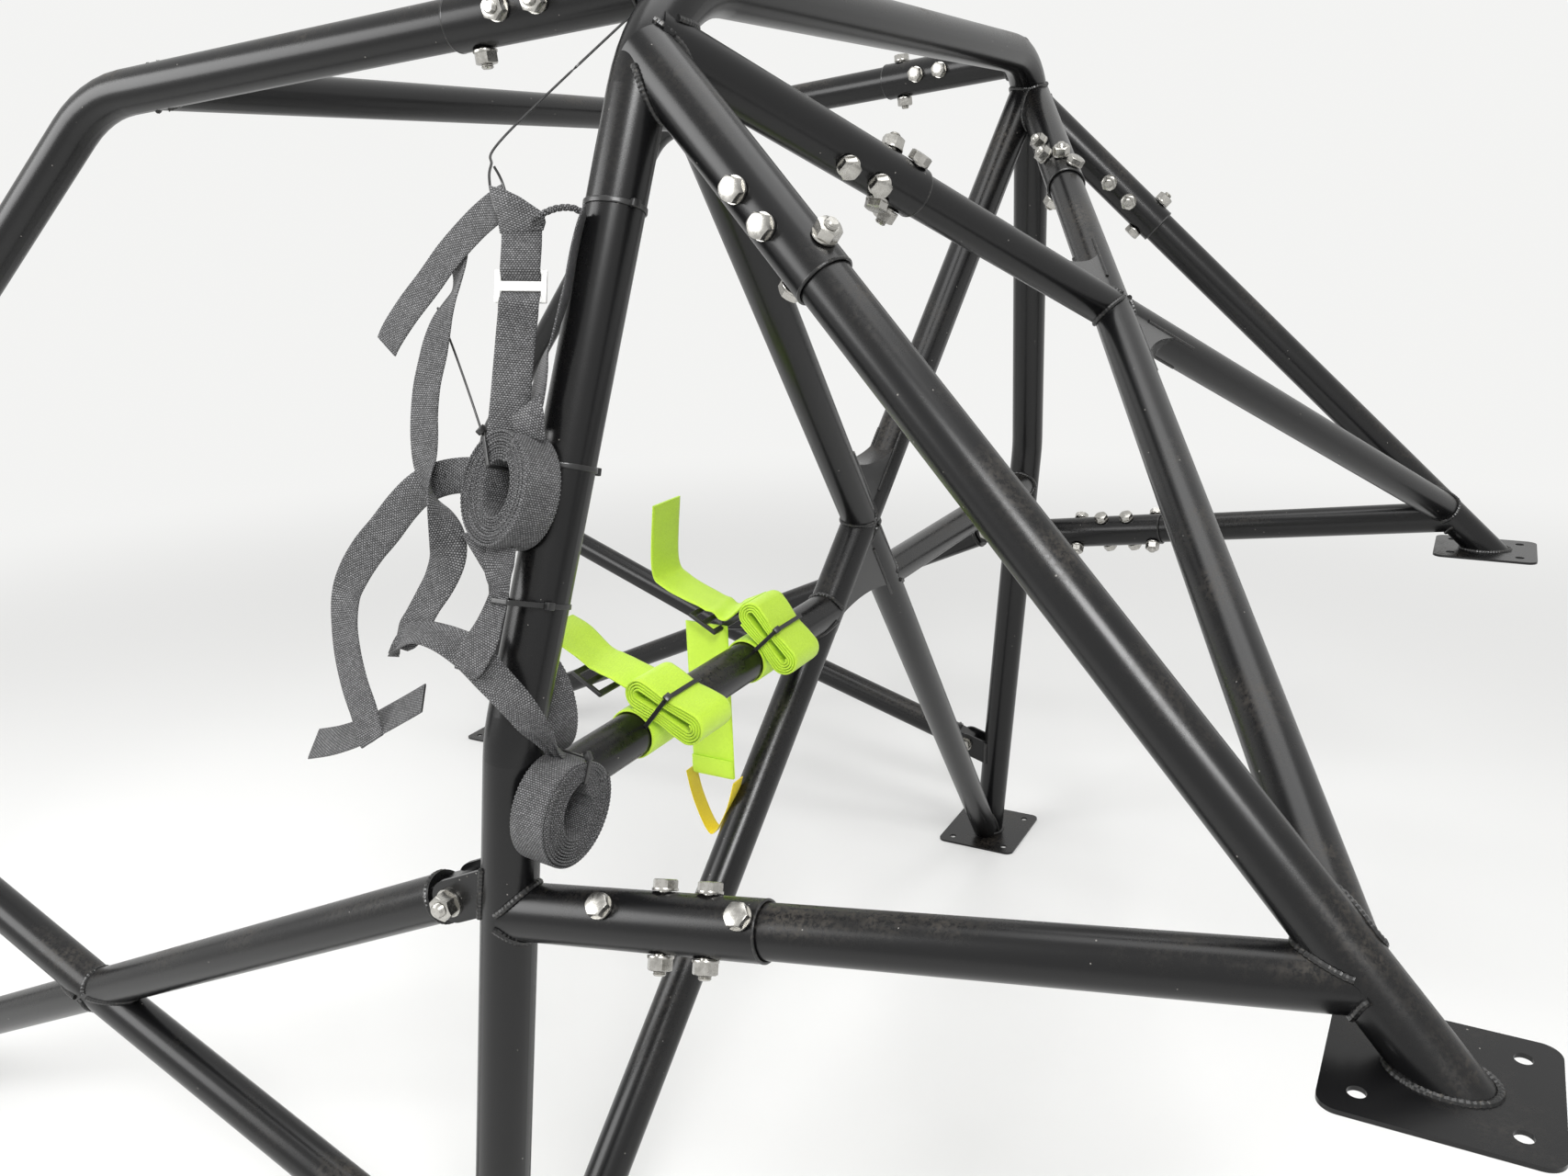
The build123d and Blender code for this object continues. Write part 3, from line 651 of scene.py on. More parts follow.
shapes = []
for start, end in ((diagonal_top, diagonal_foot), (other_top, other_foot)):
    middle = start.lerp(end, 0.5)
    shapes += weld(middle, start, BAR_OD, ["main_hoop"], reach=0.9)
    shapes += weld(middle, end, BAR_OD, ["main_hoop"], reach=0.9)
for end in (other_top, other_foot):
    shapes += weld(along(hoop_cross, end, 0.09), hoop_cross, BAR_OD, ["hoop_diagonal_main"])
make_piece("welds_hoop_cross", shapes, "black_weld")

shapes = []
for side, carrier in ((1, "hoop_diagonal_lower"), (-1, "hoop_diagonal_main")):
    outer_end = side_of(bar_left, side)
    shapes += weld(along(outer_end, bar_middle, 0.10), outer_end, BAR_OD, ["main_hoop"], WIDE_BEAD)
    shapes += weld(hoop_point(0.45 * side, HARNESS_BAR_HEIGHT), bar_middle, BAR_OD, [carrier])
make_piece("welds_harness_bar", shapes, "black_weld")

for side_name, side in SIDES:
    shapes = []
    for kind, (start, end, outer, bolts) in SLEEVE_LINES.items():
        carriers = list(hoop_tubes)
        if kind == "brace":
            carriers.append(f"stay_sleeve_{side_name}")
        outside = side_of(along(start, end, 0.13), side)
        shapes += weld(outside, side_of(start, side), outer, carriers, WIDE_BEAD)
    make_piece(f"welds_sleeves_{side_name}", shapes, "black_weld")

    stay = f"rear_stay_{side_name}"
    foot_side = side_of(brace_foot, -side)
    ends = (
        (along(side_end, side_start, 0.09), side_end, BAR_OD, stay),
        (side_of(along(foot_side, rear_cross, 0.09), side), side_of(foot_side, side), BRACE_OD, stay),
        (along(REAR_FOOT, stay_top, 0.05), REAR_FOOT, BAR_OD, f"rear_foot_{side_name}"),
        (leg_point(0.1), leg_point(0), HOOP_OD, f"main_foot_{side_name}"),
        (along(FRONT_FOOT, KNEE, 0.1), FRONT_FOOT, BAR_OD, f"front_foot_{side_name}"),
    )
    shapes = []
    for start, towards, outer, carrier in ends:
        shapes += weld(side_of(start, side), side_of(towards, side), outer, [carrier])
    make_piece(f"welds_bars_{side_name}", shapes, "black_weld")

shapes = []
for end in (side_of(brace_top, -1), side_of(brace_foot, -1)):
    shapes += weld(along(rear_cross, end, 0.09), rear_cross, BRACE_OD, ["rear_brace_main"])
screen_point = along(ROOF_CORNER, roof_end, 0.074)
for side_name, side in SIDES:
    inboard = screen_point - WIDE * 0.1
    shapes += weld(side_of(inboard, side), side_of(screen_point, side), BAR_OD, [f"front_hoop_{side_name}"])
make_piece("welds_rear_cross_and_screen", shapes, "black_weld")

# Gusset seams: straight beads where each cheek meets its tube
GUSSET_HALF_DEPTH = 0.014
GUSSET_LEG = 0.116
LOW_GUSSET_LEG = 0.136


def gusset_seams(corner, first, second, leg, outer):
    """Four beads: two cheeks on each of the two tubes that the gusset joins."""
    first = first.normalized()
    second = second.normalized()
    across = first.cross(second).normalized()
    rise = sqrt((outer / 2) ** 2 - GUSSET_HALF_DEPTH**2)
    made = []
    for run, other in ((first, second), (second, first)):
        inward = (other - run * other.dot(run)).normalized()
        for way in (1, -1):
            offset = across * (way * GUSSET_HALF_DEPTH) + inward * rise
            line = [corner + run * 0.034 + offset, corner + run * (leg - 0.004) + offset]
            made.append(bead_along(line, False, SEAM_BEAD))
    return made


down_main = diagonal_foot - diagonal_top
down_other = other_foot - other_top
shapes = gusset_seams(hoop_cross, down_main * -1, down_other * -1, GUSSET_LEG, BAR_OD)
shapes += gusset_seams(hoop_cross, down_main, down_other, LOW_GUSSET_LEG, BAR_OD)
brace_run = brace_foot - brace_top
other_brace_run = side_of(brace_foot, -1) - side_of(brace_top, -1)
for way in (1, -1):
    shapes += gusset_seams(rear_cross, brace_run * way, other_brace_run * way, GUSSET_LEG, BRACE_OD)
make_piece("gusset_seams", shapes, "black_weld")

# Door bar forks: their bolts, nuts and seams
FORK_REACH = 0.052
FORK_GAP = 0.028
FORK_PLATE = 0.004
FORK_DEPTH = 0.036
TONGUE_REACH = 0.020
FORK_BOLT_SIZE = 0.012
FORK_BOLT_FLATS = 0.019
fork_places = {
    "rear_upper": leg_point(0.570),
    "rear_lower": leg_point(0.150),
    "front_upper": FRONT_FOOT.lerp(KNEE, 0.520 / 0.628),
    "front_lower": FRONT_FOOT.lerp(KNEE, 0.062 / 0.628),
}
left_door_cross = fork_places["rear_upper"].lerp(fork_places["front_lower"], 0.5)
for side_name, side in SIDES:
    door_cross = side_of(left_door_cross, side)
    bolts = []
    seams = []
    for place_name, point in fork_places.items():
        leg = side_of(point, side)
        run = (door_cross - leg).normalized()
        normal = run.cross(UP).normalized()
        upward = normal.cross(run)
        pin = leg + run * FORK_REACH
        outward = normal if normal.x * side > 0 else normal * -1
        span = FORK_GAP + 2 * FORK_PLATE
        bolts += bolt(pin, outward, span, FORK_BOLT_SIZE, FORK_BOLT_FLATS, nut_first=True)
        carrier = "main_hoop" if place_name.startswith("rear") else f"front_hoop_{side_name}"
        surface = surface_of([carrier])
        for way in (1, -1):
            for face, bead in ((FORK_GAP / 2 + FORK_PLATE, 0.0034), (FORK_GAP / 2, 0.002)):
                line = []
                for step in range(13):
                    height = (step / 12 - 0.5) * FORK_DEPTH
                    origin = pin + normal * (way * face) + upward * height
                    hit = surface.ray_cast(origin, run * -1, 0.12)[0]
                    if hit:
                        line.append(hit)
                if len(line) > 4:
                    seams.append(bead_along(line, False, bead))
        cap = pin + run * (TONGUE_REACH + 0.0042)
        rim = circle(cap, upward, normal, BAR_OD / 2 + 0.0004, RING)
        seams.append(bead_along(rim, True, SEAM_BEAD))
    for place_name in ("rear_lower", "front_upper"):
        leg = side_of(fork_places[place_name], side)
        seams += weld(along(door_cross, leg, 0.1), door_cross, BAR_OD, [f"door_bar_main_{side_name}"])
    make_piece(f"door_fork_bolts_{side_name}", bolts, "zinc")
    make_piece(f"welds_door_bars_{side_name}", seams, "black_weld")

# Window net: rows of (behind the leg, up, out from the net's plane, turn of the strap's width in the
# plane from straight back, how far that width is tipped out of the plane, and the share of it left
# where a tie draws it in), in millimetres and degrees
WEBBING = 0.027
WEBBING_SHEET = 0.0016
SOFT_GAP = 0.0003
NET_HEIGHT = 0.900
NET_OUTSIDE = 0.036
net_out = Vector((cos(UPPER_LEAN), 0, sin(UPPER_LEAN)))
net_up = Vector((-sin(UPPER_LEAN), 0, cos(UPPER_LEAN)))
net_origin = leg_point(NET_HEIGHT) + net_out * NET_OUTSIDE


def net_point(behind, up, out=0.0):
    """A point beside the leg, by its place in the net's plane in millimetres."""
    return net_origin + BACK * (behind / MM) + net_up * (up / MM) + net_out * (out / MM)


def net_rows(rows):
    """Places, width directions and shares of a net strap."""
    made = []
    for behind, up, out, turn, tip, *drawn in rows:
        turn = radians(turn)
        tip = radians(tip)
        wide = (BACK * cos(turn) + net_up * sin(turn)) * cos(tip) + net_out * sin(tip)
        made.append((net_point(behind, up, out), wide, drawn[0] if drawn else 1.0))
    return made


NET_STRAPS = {
    "net_strap_top": (
        (-52, 171, 3, -55, 0), (-60, 166, 4, -54, 0), (-78, 153, 4, -50, 0), (-102, 131, 3, -45, 0),
        (-119, 111, 2, -42, 0), (-138, 90, 1, -44, 0), (-153, 72, -1, -48, 0), (-160, 62, -3, -50, 0),
    ),
    "net_strap_long": (
        (-104, 139, -2, 30, 5), (-99, 131, -4, 22, 16), (-96, 120, -4, 12, 30), (-95.5, 107, -2, 4, 36),
        (-99, 94, 0, 2, 26), (-103, 81, 1, 0, 13), (-106, 67, 1, 0, 4), (-107.5, 56, 1, 0, 0),
        (-109.5, 34, 2, 1, 0), (-109, 12, 2, 4, 0), (-106, -8, 2, 12, 0), (-101, -27, 3, 20, 12),
        (-92, -43, 5, 35, 45), (-81, -57, 6, 36, 84), (-72, -76, 4, 15, 122), (-71, -93, 1, -8, 150),
        (-77, -111, 0, -22, 168), (-86, -127, 0, -30, 178), (-94, -142, 0, -34, 180),
        (-100, -153, 1, -38, 180, 0.95), (-105, -160, 1, -46, 180, 0.72),
        (-107.5, -164.5, 1, -50, 180, 0.45),
    ),
    "net_strap_sling": (
        (-111, -171, 3, 112, -30, 0.26), (-106.5, -164, 6, 114, -32, 0.52),
        (-98.5, -156.5, 9, 114, -36, 0.84), (-88, -151.5, 10, 106, -46), (-74, -150, 10, 92, -54),
        (-55, -153, 8, 76, -48), (-36, -160, 6, 64, -28), (-15, -175, 3, 52, -12),
        (1, -191, -6, 46, -4), (8, -207, -20, 36, 0, 0.92), (9.5, -217.5, -34, 22, 0, 0.7),
        (10, -225.5, -44, 8, 0, 0.48), (10.4, -231.5, -54, 0, 0, 0.46),
    ),
    "net_strap_side": (
        (-50, -30, -4, 90, 0), (-75, -32, -4, 92, 0), (-95, -37, -4, 106, 10), (-110, -45, -3, 120, 15),
        (-124, -59, -2, 130, 20), (-139, -79, -1, 138, 25), (-152, -95, 0, 142, 25),
        (-164, -114, 0, 155, 18), (-170, -132, 0, 172, 8), (-166, -155, 2, 188, 0),
        (-157, -177, 4, 198, 0), (-144, -199, 6, 206, 0), (-131, -217, 7, 208, 0),
        (-122, -232, 8, 208, 0), (-118, -238, 8, 208, 0, 0.9),
    ),
    "net_strap_end": (
        (-184, -251, 2, 108, -32), (-160, -244, 2, 110, -32), (-135, -233, 1, 114, -32),
        (-111, -219, 1, 120, -32), (-90, -206, 1, 122, -32), (-79, -199, 1, 122, -32),
    ),
    "net_strap_buckled": (
        (-33.5, 151, 5, -2, -25), (-31, 137, 6, 2, -25), (-28.5, 124.5, 8, 6, -25),
        (-27.5, 117.5, 8.4, 6, -25), (-29.5, 107, 1.6, 6, -25), (-25.5, 96.5, 8.4, 6, -25),
        (-27, 86, 6, 3, -25), (-28.5, 74, 4, 0, -25), (-28.5, 50, 3, 0, -25), (-28.5, 25, 2, 0, -25),
        (-30, 3, 0, -3, -25), (-31, -6, -1, -3, -25),
    ),
    "net_strap_edge": (
        (10, 164, -10, 0, 60), (9.5, 150, -6, 0, 61), (8.5, 132, -4, 0, 62), (7.2, 108, -3, 0, 62),
        (5, 91, -2, 0, 60), (1, 73, -2, 0, 54), (-4.5, 60, -3, 0, 44), (-7, 49, -4, 0, 36),
        (-9.5, 36, -5, -4, 30), (-12, 22, -6, -8, 28), (-14, 8, -6, -8, 28),
    ),
    "net_strap_low": (
        (-20.5, -80, 3, 0, 0), (-20.5, -96, 3, 0, 0), (-16.5, -109, 3, 0, 0, 0.68),
        (-16.5, -116, 3, -4, 0, 0.66), (-19.5, -134, 6, -14, 0, 0.82), (-22.5, -149, 10, -22, -4, 0.98),
        (-27.5, -161, 12, -26, -8), (-31, -169, 12, -28, -8, 0.92), (-33, -174, 11, -28, -8, 0.68),
    ),
}
STRAP_WIDTHS = {"net_strap_buckled": 0.0295}
for name, rows in NET_STRAPS.items():
    width = STRAP_WIDTHS.get(name, WEBBING)
    make_piece(name, [strap(net_rows(rows), width, WEBBING_SHEET)], "net_webbing", ("net_straps",), 80)


def patch(corners, out, slope, thickness, turn):
    """A flat folded piece of webbing: a polygon beside the leg with a rounded rim, its weave turned."""
    count = len(corners)
    middle = (sum(a for a, s in corners) / count, sum(s for a, s in corners) / count)
    turn = radians(turn)
    vertices = []
    flat = []
    for share, lift in ((0.96, 0.5), (1.0, 0.2), (1.0, -0.2), (0.96, -0.5)):
        for a, s in corners:
            a = middle[0] + (a - middle[0]) * share
            s = middle[1] + (s - middle[1]) * share
            vertices.append(net_point(a, s, out + slope * (a - middle[0]) + lift * thickness))
            down = s * cos(turn) - a * sin(turn) + lift * thickness
            flat.append(((a * cos(turn) + s * sin(turn)) / MM, down / MM))
    faces = [tuple(range(count)), tuple(range(3 * count, 4 * count))]
    for ring in range(3):
        for j in range(count):
            k = (j + 1) % count
            base = ring * count
            faces.append((base + j, base + k, base + count + k, base + count + j))
    return vertices, faces, [tuple(flat[index] for index in face) for face in faces]


# Folds that are sewn flat, in millimetres and degrees: corners of (behind the leg, up), how far out,
# slope, thickness, turn of the weave
NET_FOLDS = {
    "net_fold_top": (
        (
            (-57.5, 177), (-47, 175.5), (-36, 171), (-19.5, 161.5), (-17.5, 155), (-18.5, 149),
            (-46.5, 143.5), (-50, 157),
        ), 7.6, -0.45, 3.0, -14,
    ),
    "net_fold_edge": (
        ((0, 31), (4.5, 16), (7.5, -2), (-15, 0), (-18, 13)), 6.0, -0.30, 2.0, -38,
    ),
    "net_fold_low": (((-61, -74), (-47, -72), (-33, -80), (-34, -101)), 1.0, 0.0, 1.8, 40),
}
for name, (corners, out, slope, thickness, turn) in NET_FOLDS.items():
    make_piece(name, [patch(corners, out, slope, thickness, turn)], "net_webbing", (), 80)

# Slide buckle: two side bars, and three cross bars that the strap weaves through
BUCKLE_PLACE = (-28, 107)
BUCKLE_TURN = radians(6)
BUCKLE_TIP = radians(-25)
BUCKLE_WIDTH = 0.038
BUCKLE_HEIGHT = 0.024
BUCKLE_SHEET = 0.0026
BUCKLE_SIDE_WIDTH = 0.0042
BUCKLE_BARS = ((-0.0102, 0.0036), (0.0, 0.0072), (0.0102, 0.0036))


def bar_shape(start, end, wide, thick, radius_share=0.35):
    """A straight bar with a rounded rectangular section and rounded ends."""
    run = (end - start).normalized()
    wide_way = wide.normalized()
    face = run.cross(wide_way).normalized()
    half_wide = wide.length / 2
    half_thick = thick / 2
    corner = min(half_wide, half_thick) * radius_share
    section = []
    for cx, cy, first in ((1, 1, 0), (-1, 1, 90), (-1, -1, 180), (1, -1, 270)):
        for k in range(4):
            turn = radians(first + 30 * k)
            x = cx * (half_wide - corner) + corner * cos(turn)
            y = cy * (half_thick - corner) + corner * sin(turn)
            section.append((x, y))
    length = (end - start).length
    ends = ((0.0, 0.70), (corner * 0.3, 0.90), (corner, 1.0))
    stations = ends + tuple((length - at, size) for at, size in reversed(ends))
    rings = []
    for at, size in stations:
        rings.append([start + run * at + wide_way * (x * size) + face * (y * size) for x, y in section])
    return loft(rings)


buckle_back = BACK * cos(BUCKLE_TURN) + net_up * sin(BUCKLE_TURN)
buckle_across = buckle_back * cos(BUCKLE_TIP) + net_out * sin(BUCKLE_TIP)
buckle_upward = net_up * cos(BUCKLE_TURN) - BACK * sin(BUCKLE_TURN)
buckle_centre = net_point(*BUCKLE_PLACE, 5)
shapes = []
for way in (-1, 1):
    middle = buckle_centre + buckle_across * (way * (BUCKLE_WIDTH - BUCKLE_SIDE_WIDTH) / 2)
    half = buckle_upward * (BUCKLE_HEIGHT / 2)
    side_wide = buckle_across * BUCKLE_SIDE_WIDTH
    shapes.append(bar_shape(middle - half, middle + half, side_wide, BUCKLE_SHEET))
for height, wide in BUCKLE_BARS:
    middle = buckle_centre + buckle_upward * height
    half = buckle_across * (BUCKLE_WIDTH / 2 - 0.003)
    shapes.append(bar_shape(middle - half, middle + half, buckle_upward * wide, BUCKLE_SHEET))
make_piece("slide_buckle", shapes, "buckle", ("net_buckle",), 60)

# Rolls of webbing: a spiral from an oval hole out to the rim, drawn in where a tie goes round its wall
ROLL_RADIUS = 0.0440
ROLL_WIDTH = 0.030
ROLL_CORE = 0.0165
ROLL_CORE_STRETCH = 0.0045
ROLL_SHEET = 0.0021
ROLL_TURNS = 10
ROLL_STEP = 0.0011
PLAIT = 0.0033
ROLL_WALL = 0.55
TIE_PULL = 0.42


def webbing_roll(centre, axis, first_turn, hole_shift, tie_turn, squeeze):
    """The wound strap of a roll about an axis, its hole longest upwards."""
    across = UP.cross(axis).normalized()
    upward = axis.cross(across).normalized()
    rows = []
    turned = 0.0
    travelled = 0.0
    shift = 0.0
    while turned < 2 * pi * ROLL_TURNS:
        grown = turned / (2 * pi * ROLL_TURNS)
        angle = first_turn + turned
        core = Vector((ROLL_CORE * cos(angle) + hole_shift, (ROLL_CORE + ROLL_CORE_STRETCH) * sin(angle)))
        rim = Vector((cos(angle), sin(angle))) * (ROLL_RADIUS - ROLL_SHEET / 2)
        flat = core.lerp(rim, grown)
        off = (angle - tie_turn + pi) % (2 * pi) - pi
        wall = core.lerp(rim, ROLL_WALL)
        flat = flat.lerp(wall, squeeze * exp(-((off / TIE_PULL) ** 2)))
        if int(turned / (2 * pi)) != int((turned - ROLL_STEP / 0.03) / (2 * pi)):
            shift = random.uniform(-0.0007, 0.0007)
        plait = 1 + 0.022 * sin(2 * pi * travelled / PLAIT)
        place = centre + across * flat.x + upward * flat.y + axis * shift * min(1, grown * 4)
        rows.append((place, axis, plait))
        turned += ROLL_STEP / max(flat.length, 0.012)
        travelled += ROLL_STEP
    return strap(rows, ROLL_WIDTH, ROLL_SHEET, 0)


ROLL_STAND_OFF = (HOOP_OD + ROLL_WIDTH) / 2 + SOFT_GAP
upper_leg = leg_point(0.861)
upper_leg_run = (leg_point(HOOP_HEIGHT) - upper_leg).normalized()
upper_back = upper_leg_run.cross(net_out).normalized()
upper_turn = radians(18.0)
upper_axis = upper_back.cross(upper_leg_run) * cos(upper_turn) - upper_back * sin(upper_turn)
upper_side = upper_leg_run.cross(upper_axis)
upper_centre = upper_leg + upper_axis * ROLL_STAND_OFF - upper_side * 0.0082

lower_leg = leg_point(0.637)
lower_leg_run = (leg_point(WAIST_HEIGHT) - lower_leg).normalized()
lower_axis = WIDE.cross(lower_leg_run).normalized() * -1
lower_centre = lower_leg + lower_axis * ROLL_STAND_OFF - WIDE * 0.012

INNER_ROLL_INBOARD = 0.062
INNER_ROLL_AHEAD = 0.022
INNER_ROLL_TURN = radians(22)
inner_axis = Vector((cos(INNER_ROLL_TURN), -sin(INNER_ROLL_TURN), 0))
inner_reach = BAR_OD / 2 + SOFT_GAP + ROLL_RADIUS
inner_rise = sqrt(inner_reach**2 - (INNER_ROLL_AHEAD - ROLL_WIDTH / 2 * sin(INNER_ROLL_TURN)) ** 2)
inner_centre = bar_left + Vector((-INNER_ROLL_INBOARD, -INNER_ROLL_AHEAD, inner_rise))

# Rolls: centre, axis, where the spiral starts, shift of the hole, and the tie's angle and pull
ROLLS = {
    "upper": (upper_centre, upper_axis, 1.2, 0.004, radians(128), 0.10),
    "lower": (lower_centre, lower_axis, 0.4, 0.0, radians(70), 0.34),
    "inner": (inner_centre, inner_axis, 2.0, 0.0, radians(250), 0.0),
}
for name, row in ROLLS.items():
    make_piece(f"net_roll_{name}", [webbing_roll(*row)], "net_webbing", ("net_rolls",), 80)


# Cable ties: strap thickness, its middle's distance from what it holds, and half length and thickness of
# the head
TIE_SHEET = 0.0013
TIE_STAND_OFF = 0.0007
TIE_HEAD_OUT = 0.0022
TIE_HEAD_HALF = 0.0035
TIE_HEAD_THICK = 0.0046


def hull(points):
    """The outline round flat points."""
    ordered = sorted(set((round(p[0], 6), round(p[1], 6)) for p in points))

    def half(items):
        """One side of the outline."""
        kept = []
        for p in items:
            while len(kept) > 1:
                a, b = kept[-2], kept[-1]
                if (b[0] - a[0]) * (p[1] - a[1]) - (b[1] - a[1]) * (p[0] - a[0]) > 0:
                    break
                kept.pop()
            kept.append(p)
        return kept[:-1]

    return half(ordered) + half(ordered[::-1])


def cable_tie(centre, x_way, y_way, circles, head_angle, width=0.0040, tail=()):
    """A tie round circles of (x, y, radius) in a plane, with its ratchet head and its tail."""
    x_way = x_way.normalized()
    y_way = (y_way - x_way * y_way.dot(x_way)).normalized()
    axis = x_way.cross(y_way)
    points = []
    for x, y, radius in circles:
        out = radius + TIE_STAND_OFF
        for k in range(36):
            turn = 2 * pi * k / 36
            points.append((x + out * cos(turn), y + out * sin(turn)))
    outline = hull(points)
    loop = []
    for before, after in zip(outline, outline[1:] + outline[:1]):
        a = Vector(before)
        b = Vector(after)
        count = max(1, ceil((b - a).length / 0.003))
        loop += [a.lerp(b, k / count) for k in range(count)]
    rows = [(centre + x_way * p.x + y_way * p.y, axis) for p in loop]
    made = [strap(rows, width, TIE_SHEET, 0, closed=True)]
    middle = sum(loop, Vector((0, 0))) / len(loop)
    aim = Vector((cos(head_angle), sin(head_angle)))
    at = max(loop, key=lambda p: (p - middle).normalized().dot(aim))
    out = (at - middle).normalized()
    outward = x_way * out.x + y_way * out.y
    head = centre + x_way * at.x + y_way * at.y + outward * TIE_HEAD_OUT
    half = axis.cross(outward) * TIE_HEAD_HALF
    made.append(bar_shape(head - half, head + half, axis * (width * 1.5), TIE_HEAD_THICK, 0.3))
    if tail:
        made.append(strap([(p, axis) for p in [head] + list(tail)], width * 0.5, 0.0010))
    return made


leg_run = (leg_point(1.1) - leg_point(0.9)).normalized()
leg_side = BACK.cross(leg_run).normalized()
LEG_RADIUS = HOOP_OD / 2
for name, height, circles, head_angle in (
    ("top", 1.067, ((0, 0, LEG_RADIUS),), 70),
    ("middle", 0.884, ((0, 0, LEG_RADIUS),), 150),
    ("low", 0.786, ((0, 0, LEG_RADIUS), (0.0405, -0.0085, 0.0015), (0.0405, 0.0040, 0.0015)), 75),
):
    tie = cable_tie(leg_point(height), leg_side, BACK, circles, radians(head_angle))
    make_piece(f"tie_leg_{name}", tie, "tie", (), 60)


def roll_tie(name, tail=()):
    """A tie through a roll's hole and round its wall, where the wall is drawn in."""
    centre, axis, start, hole_shift, angle, squeeze = ROLLS[name]
    across = UP.cross(axis).normalized()
    upward = axis.cross(across).normalized()
    core = Vector((ROLL_CORE * cos(angle) + hole_shift, (ROLL_CORE + ROLL_CORE_STRETCH) * sin(angle)))
    rim = Vector((cos(angle), sin(angle))) * ROLL_RADIUS
    wall = core.lerp(rim, ROLL_WALL)
    inner_end = core.lerp(wall, squeeze)
    outer_end = rim.lerp(wall, squeeze)
    middle = (inner_end + outer_end) / 2
    half = (outer_end - inner_end).length / 2 + 0.0006
    out = (across * middle.x + upward * middle.y).normalized()
    corners = [(x, y, 0.0004) for x in (-half, half) for y in (-ROLL_WIDTH / 2, ROLL_WIDTH / 2)]
    place = centre + across * middle.x + upward * middle.y
    return cable_tie(place, out, axis, corners, radians(50), 0.0036, tail)


upper_tie_tail = [
    net_point(-60, 22, 6.5), net_point(-78, 43, 0), net_point(-96, 64, -6),
    net_point(-123, 95, -14),
]
make_piece("tie_roll_upper", roll_tie("upper", upper_tie_tail), "tie", (), 60)
make_piece("tie_roll_lower", roll_tie("lower"), "tie", (), 60)

# The net hangs from the roof sleeve by a long thin tie, looped through the fold at its top
roof_run = (ROOF_CORNER - roof_end).normalized()
hang_at = roof_end + roof_run * 0.030
hang_radius = HOOP_OD / 2 + 0.0012
hang_side = (net_point(-67, 210) - hang_at).normalized()
hang_side = (hang_side - roof_run * hang_side.dot(roof_run)).normalized()
hang_other = roof_run.cross(hang_side)
rows = []
for k in range(13):
    turn = radians(-150 + 25 * k)
    rows.append((hang_at + (hang_side * cos(turn) + hang_other * sin(turn)) * hang_radius, roof_run))
hang_loop = strap(rows, 0.0022, 0.0011)
hang_line = [
    (hang_at + hang_side * (hang_radius + 0.0008), roof_run), (net_point(-68, 222, -6), BACK),
    (net_point(-66, 195, 8), BACK), (net_point(-60.5, 180, 13.5), BACK),
    (net_point(-54, 165, 14), BACK), (net_point(-49, 155, 12), BACK),
    (net_point(-47.5, 150, 4), BACK), (net_point(-51, 160, -2), BACK),
    (net_point(-61, 184, -1), BACK), (net_point(-65.5, 195, 5.5), BACK),
]
make_piece("tie_net_top", [hang_loop, strap(hang_line, 0.0019, 0.0011)], "tie", (), 60)

# Twisted link from the buckled strap's corner to the tie on the leg
link = (
    net_point(-22, 154, 9), net_point(-14, 158, 8), net_point(-5, 163, 4),
    net_point(4, 165, -2), net_point(10, 163, -9),
)
line = [row[0] for row in smooth([(p,) for p in link], 0.0012)]
strands = []
for phase in (0, 2 * pi / 3, 4 * pi / 3):
    runs = tangents(line)
    side = runs[0].orthogonal().normalized()
    points = []
    for i, (p, run) in enumerate(zip(line, runs)):
        side = (side - run * side.dot(run)).normalized()
        other = run.cross(side)
        turn = phase + i * 0.55
        points.append(p + (side * cos(turn) + other * sin(turn)) * 0.0013)
    strands.append(tube(points, [0.0013] * len(points), sides=8))
make_piece("net_link", strands, "net_webbing", (), 80)

# Belts: profiles in the plane across the harness bar, as (behind the bar, above it)
BELT_WIDTH = 0.050
BELT_SHEET = 0.0024
BAND_RADIUS = BAR_OD / 2 + SOFT_GAP + BELT_SHEET / 2
BELT_ROLL_LENGTH = 0.084
BELT_ROLL_THICKNESS = 0.030
BELT_ROLL_LAYERS = 4.5
BELT_ROLL_START = 0.0024
ADJUSTER_SHEET = 0.004
ADJUSTER_BARS = (-0.0145, 0.0, 0.0145)
ADJUSTER_HALF_WIDTH = 0.0285
ADJUSTER_SIDE = 0.0275
ADJUSTER_HALF_LENGTH = 0.0165
TIE_OVER_ROLL = 0.0142
TIE_UNDER_BAND = 0.0240
BELTS = (
    ("near", 0.452, 24, 0.020, ((-0.027, 0.037), (-0.052, 0.052), (-0.073, 0.074), (-0.092, 0.082))),
    (
        "far", 0.256, 49, -0.004,
        ((-0.031, 0.031), (-0.056, 0.045), (-0.090, 0.066), (-0.104, 0.084), (-0.098, 0.150)),
    ),
)


def belt_point(x, behind, above):
    """A point beside the harness bar, by its place across the bar."""
    return bar_middle + Vector((x, behind, above))


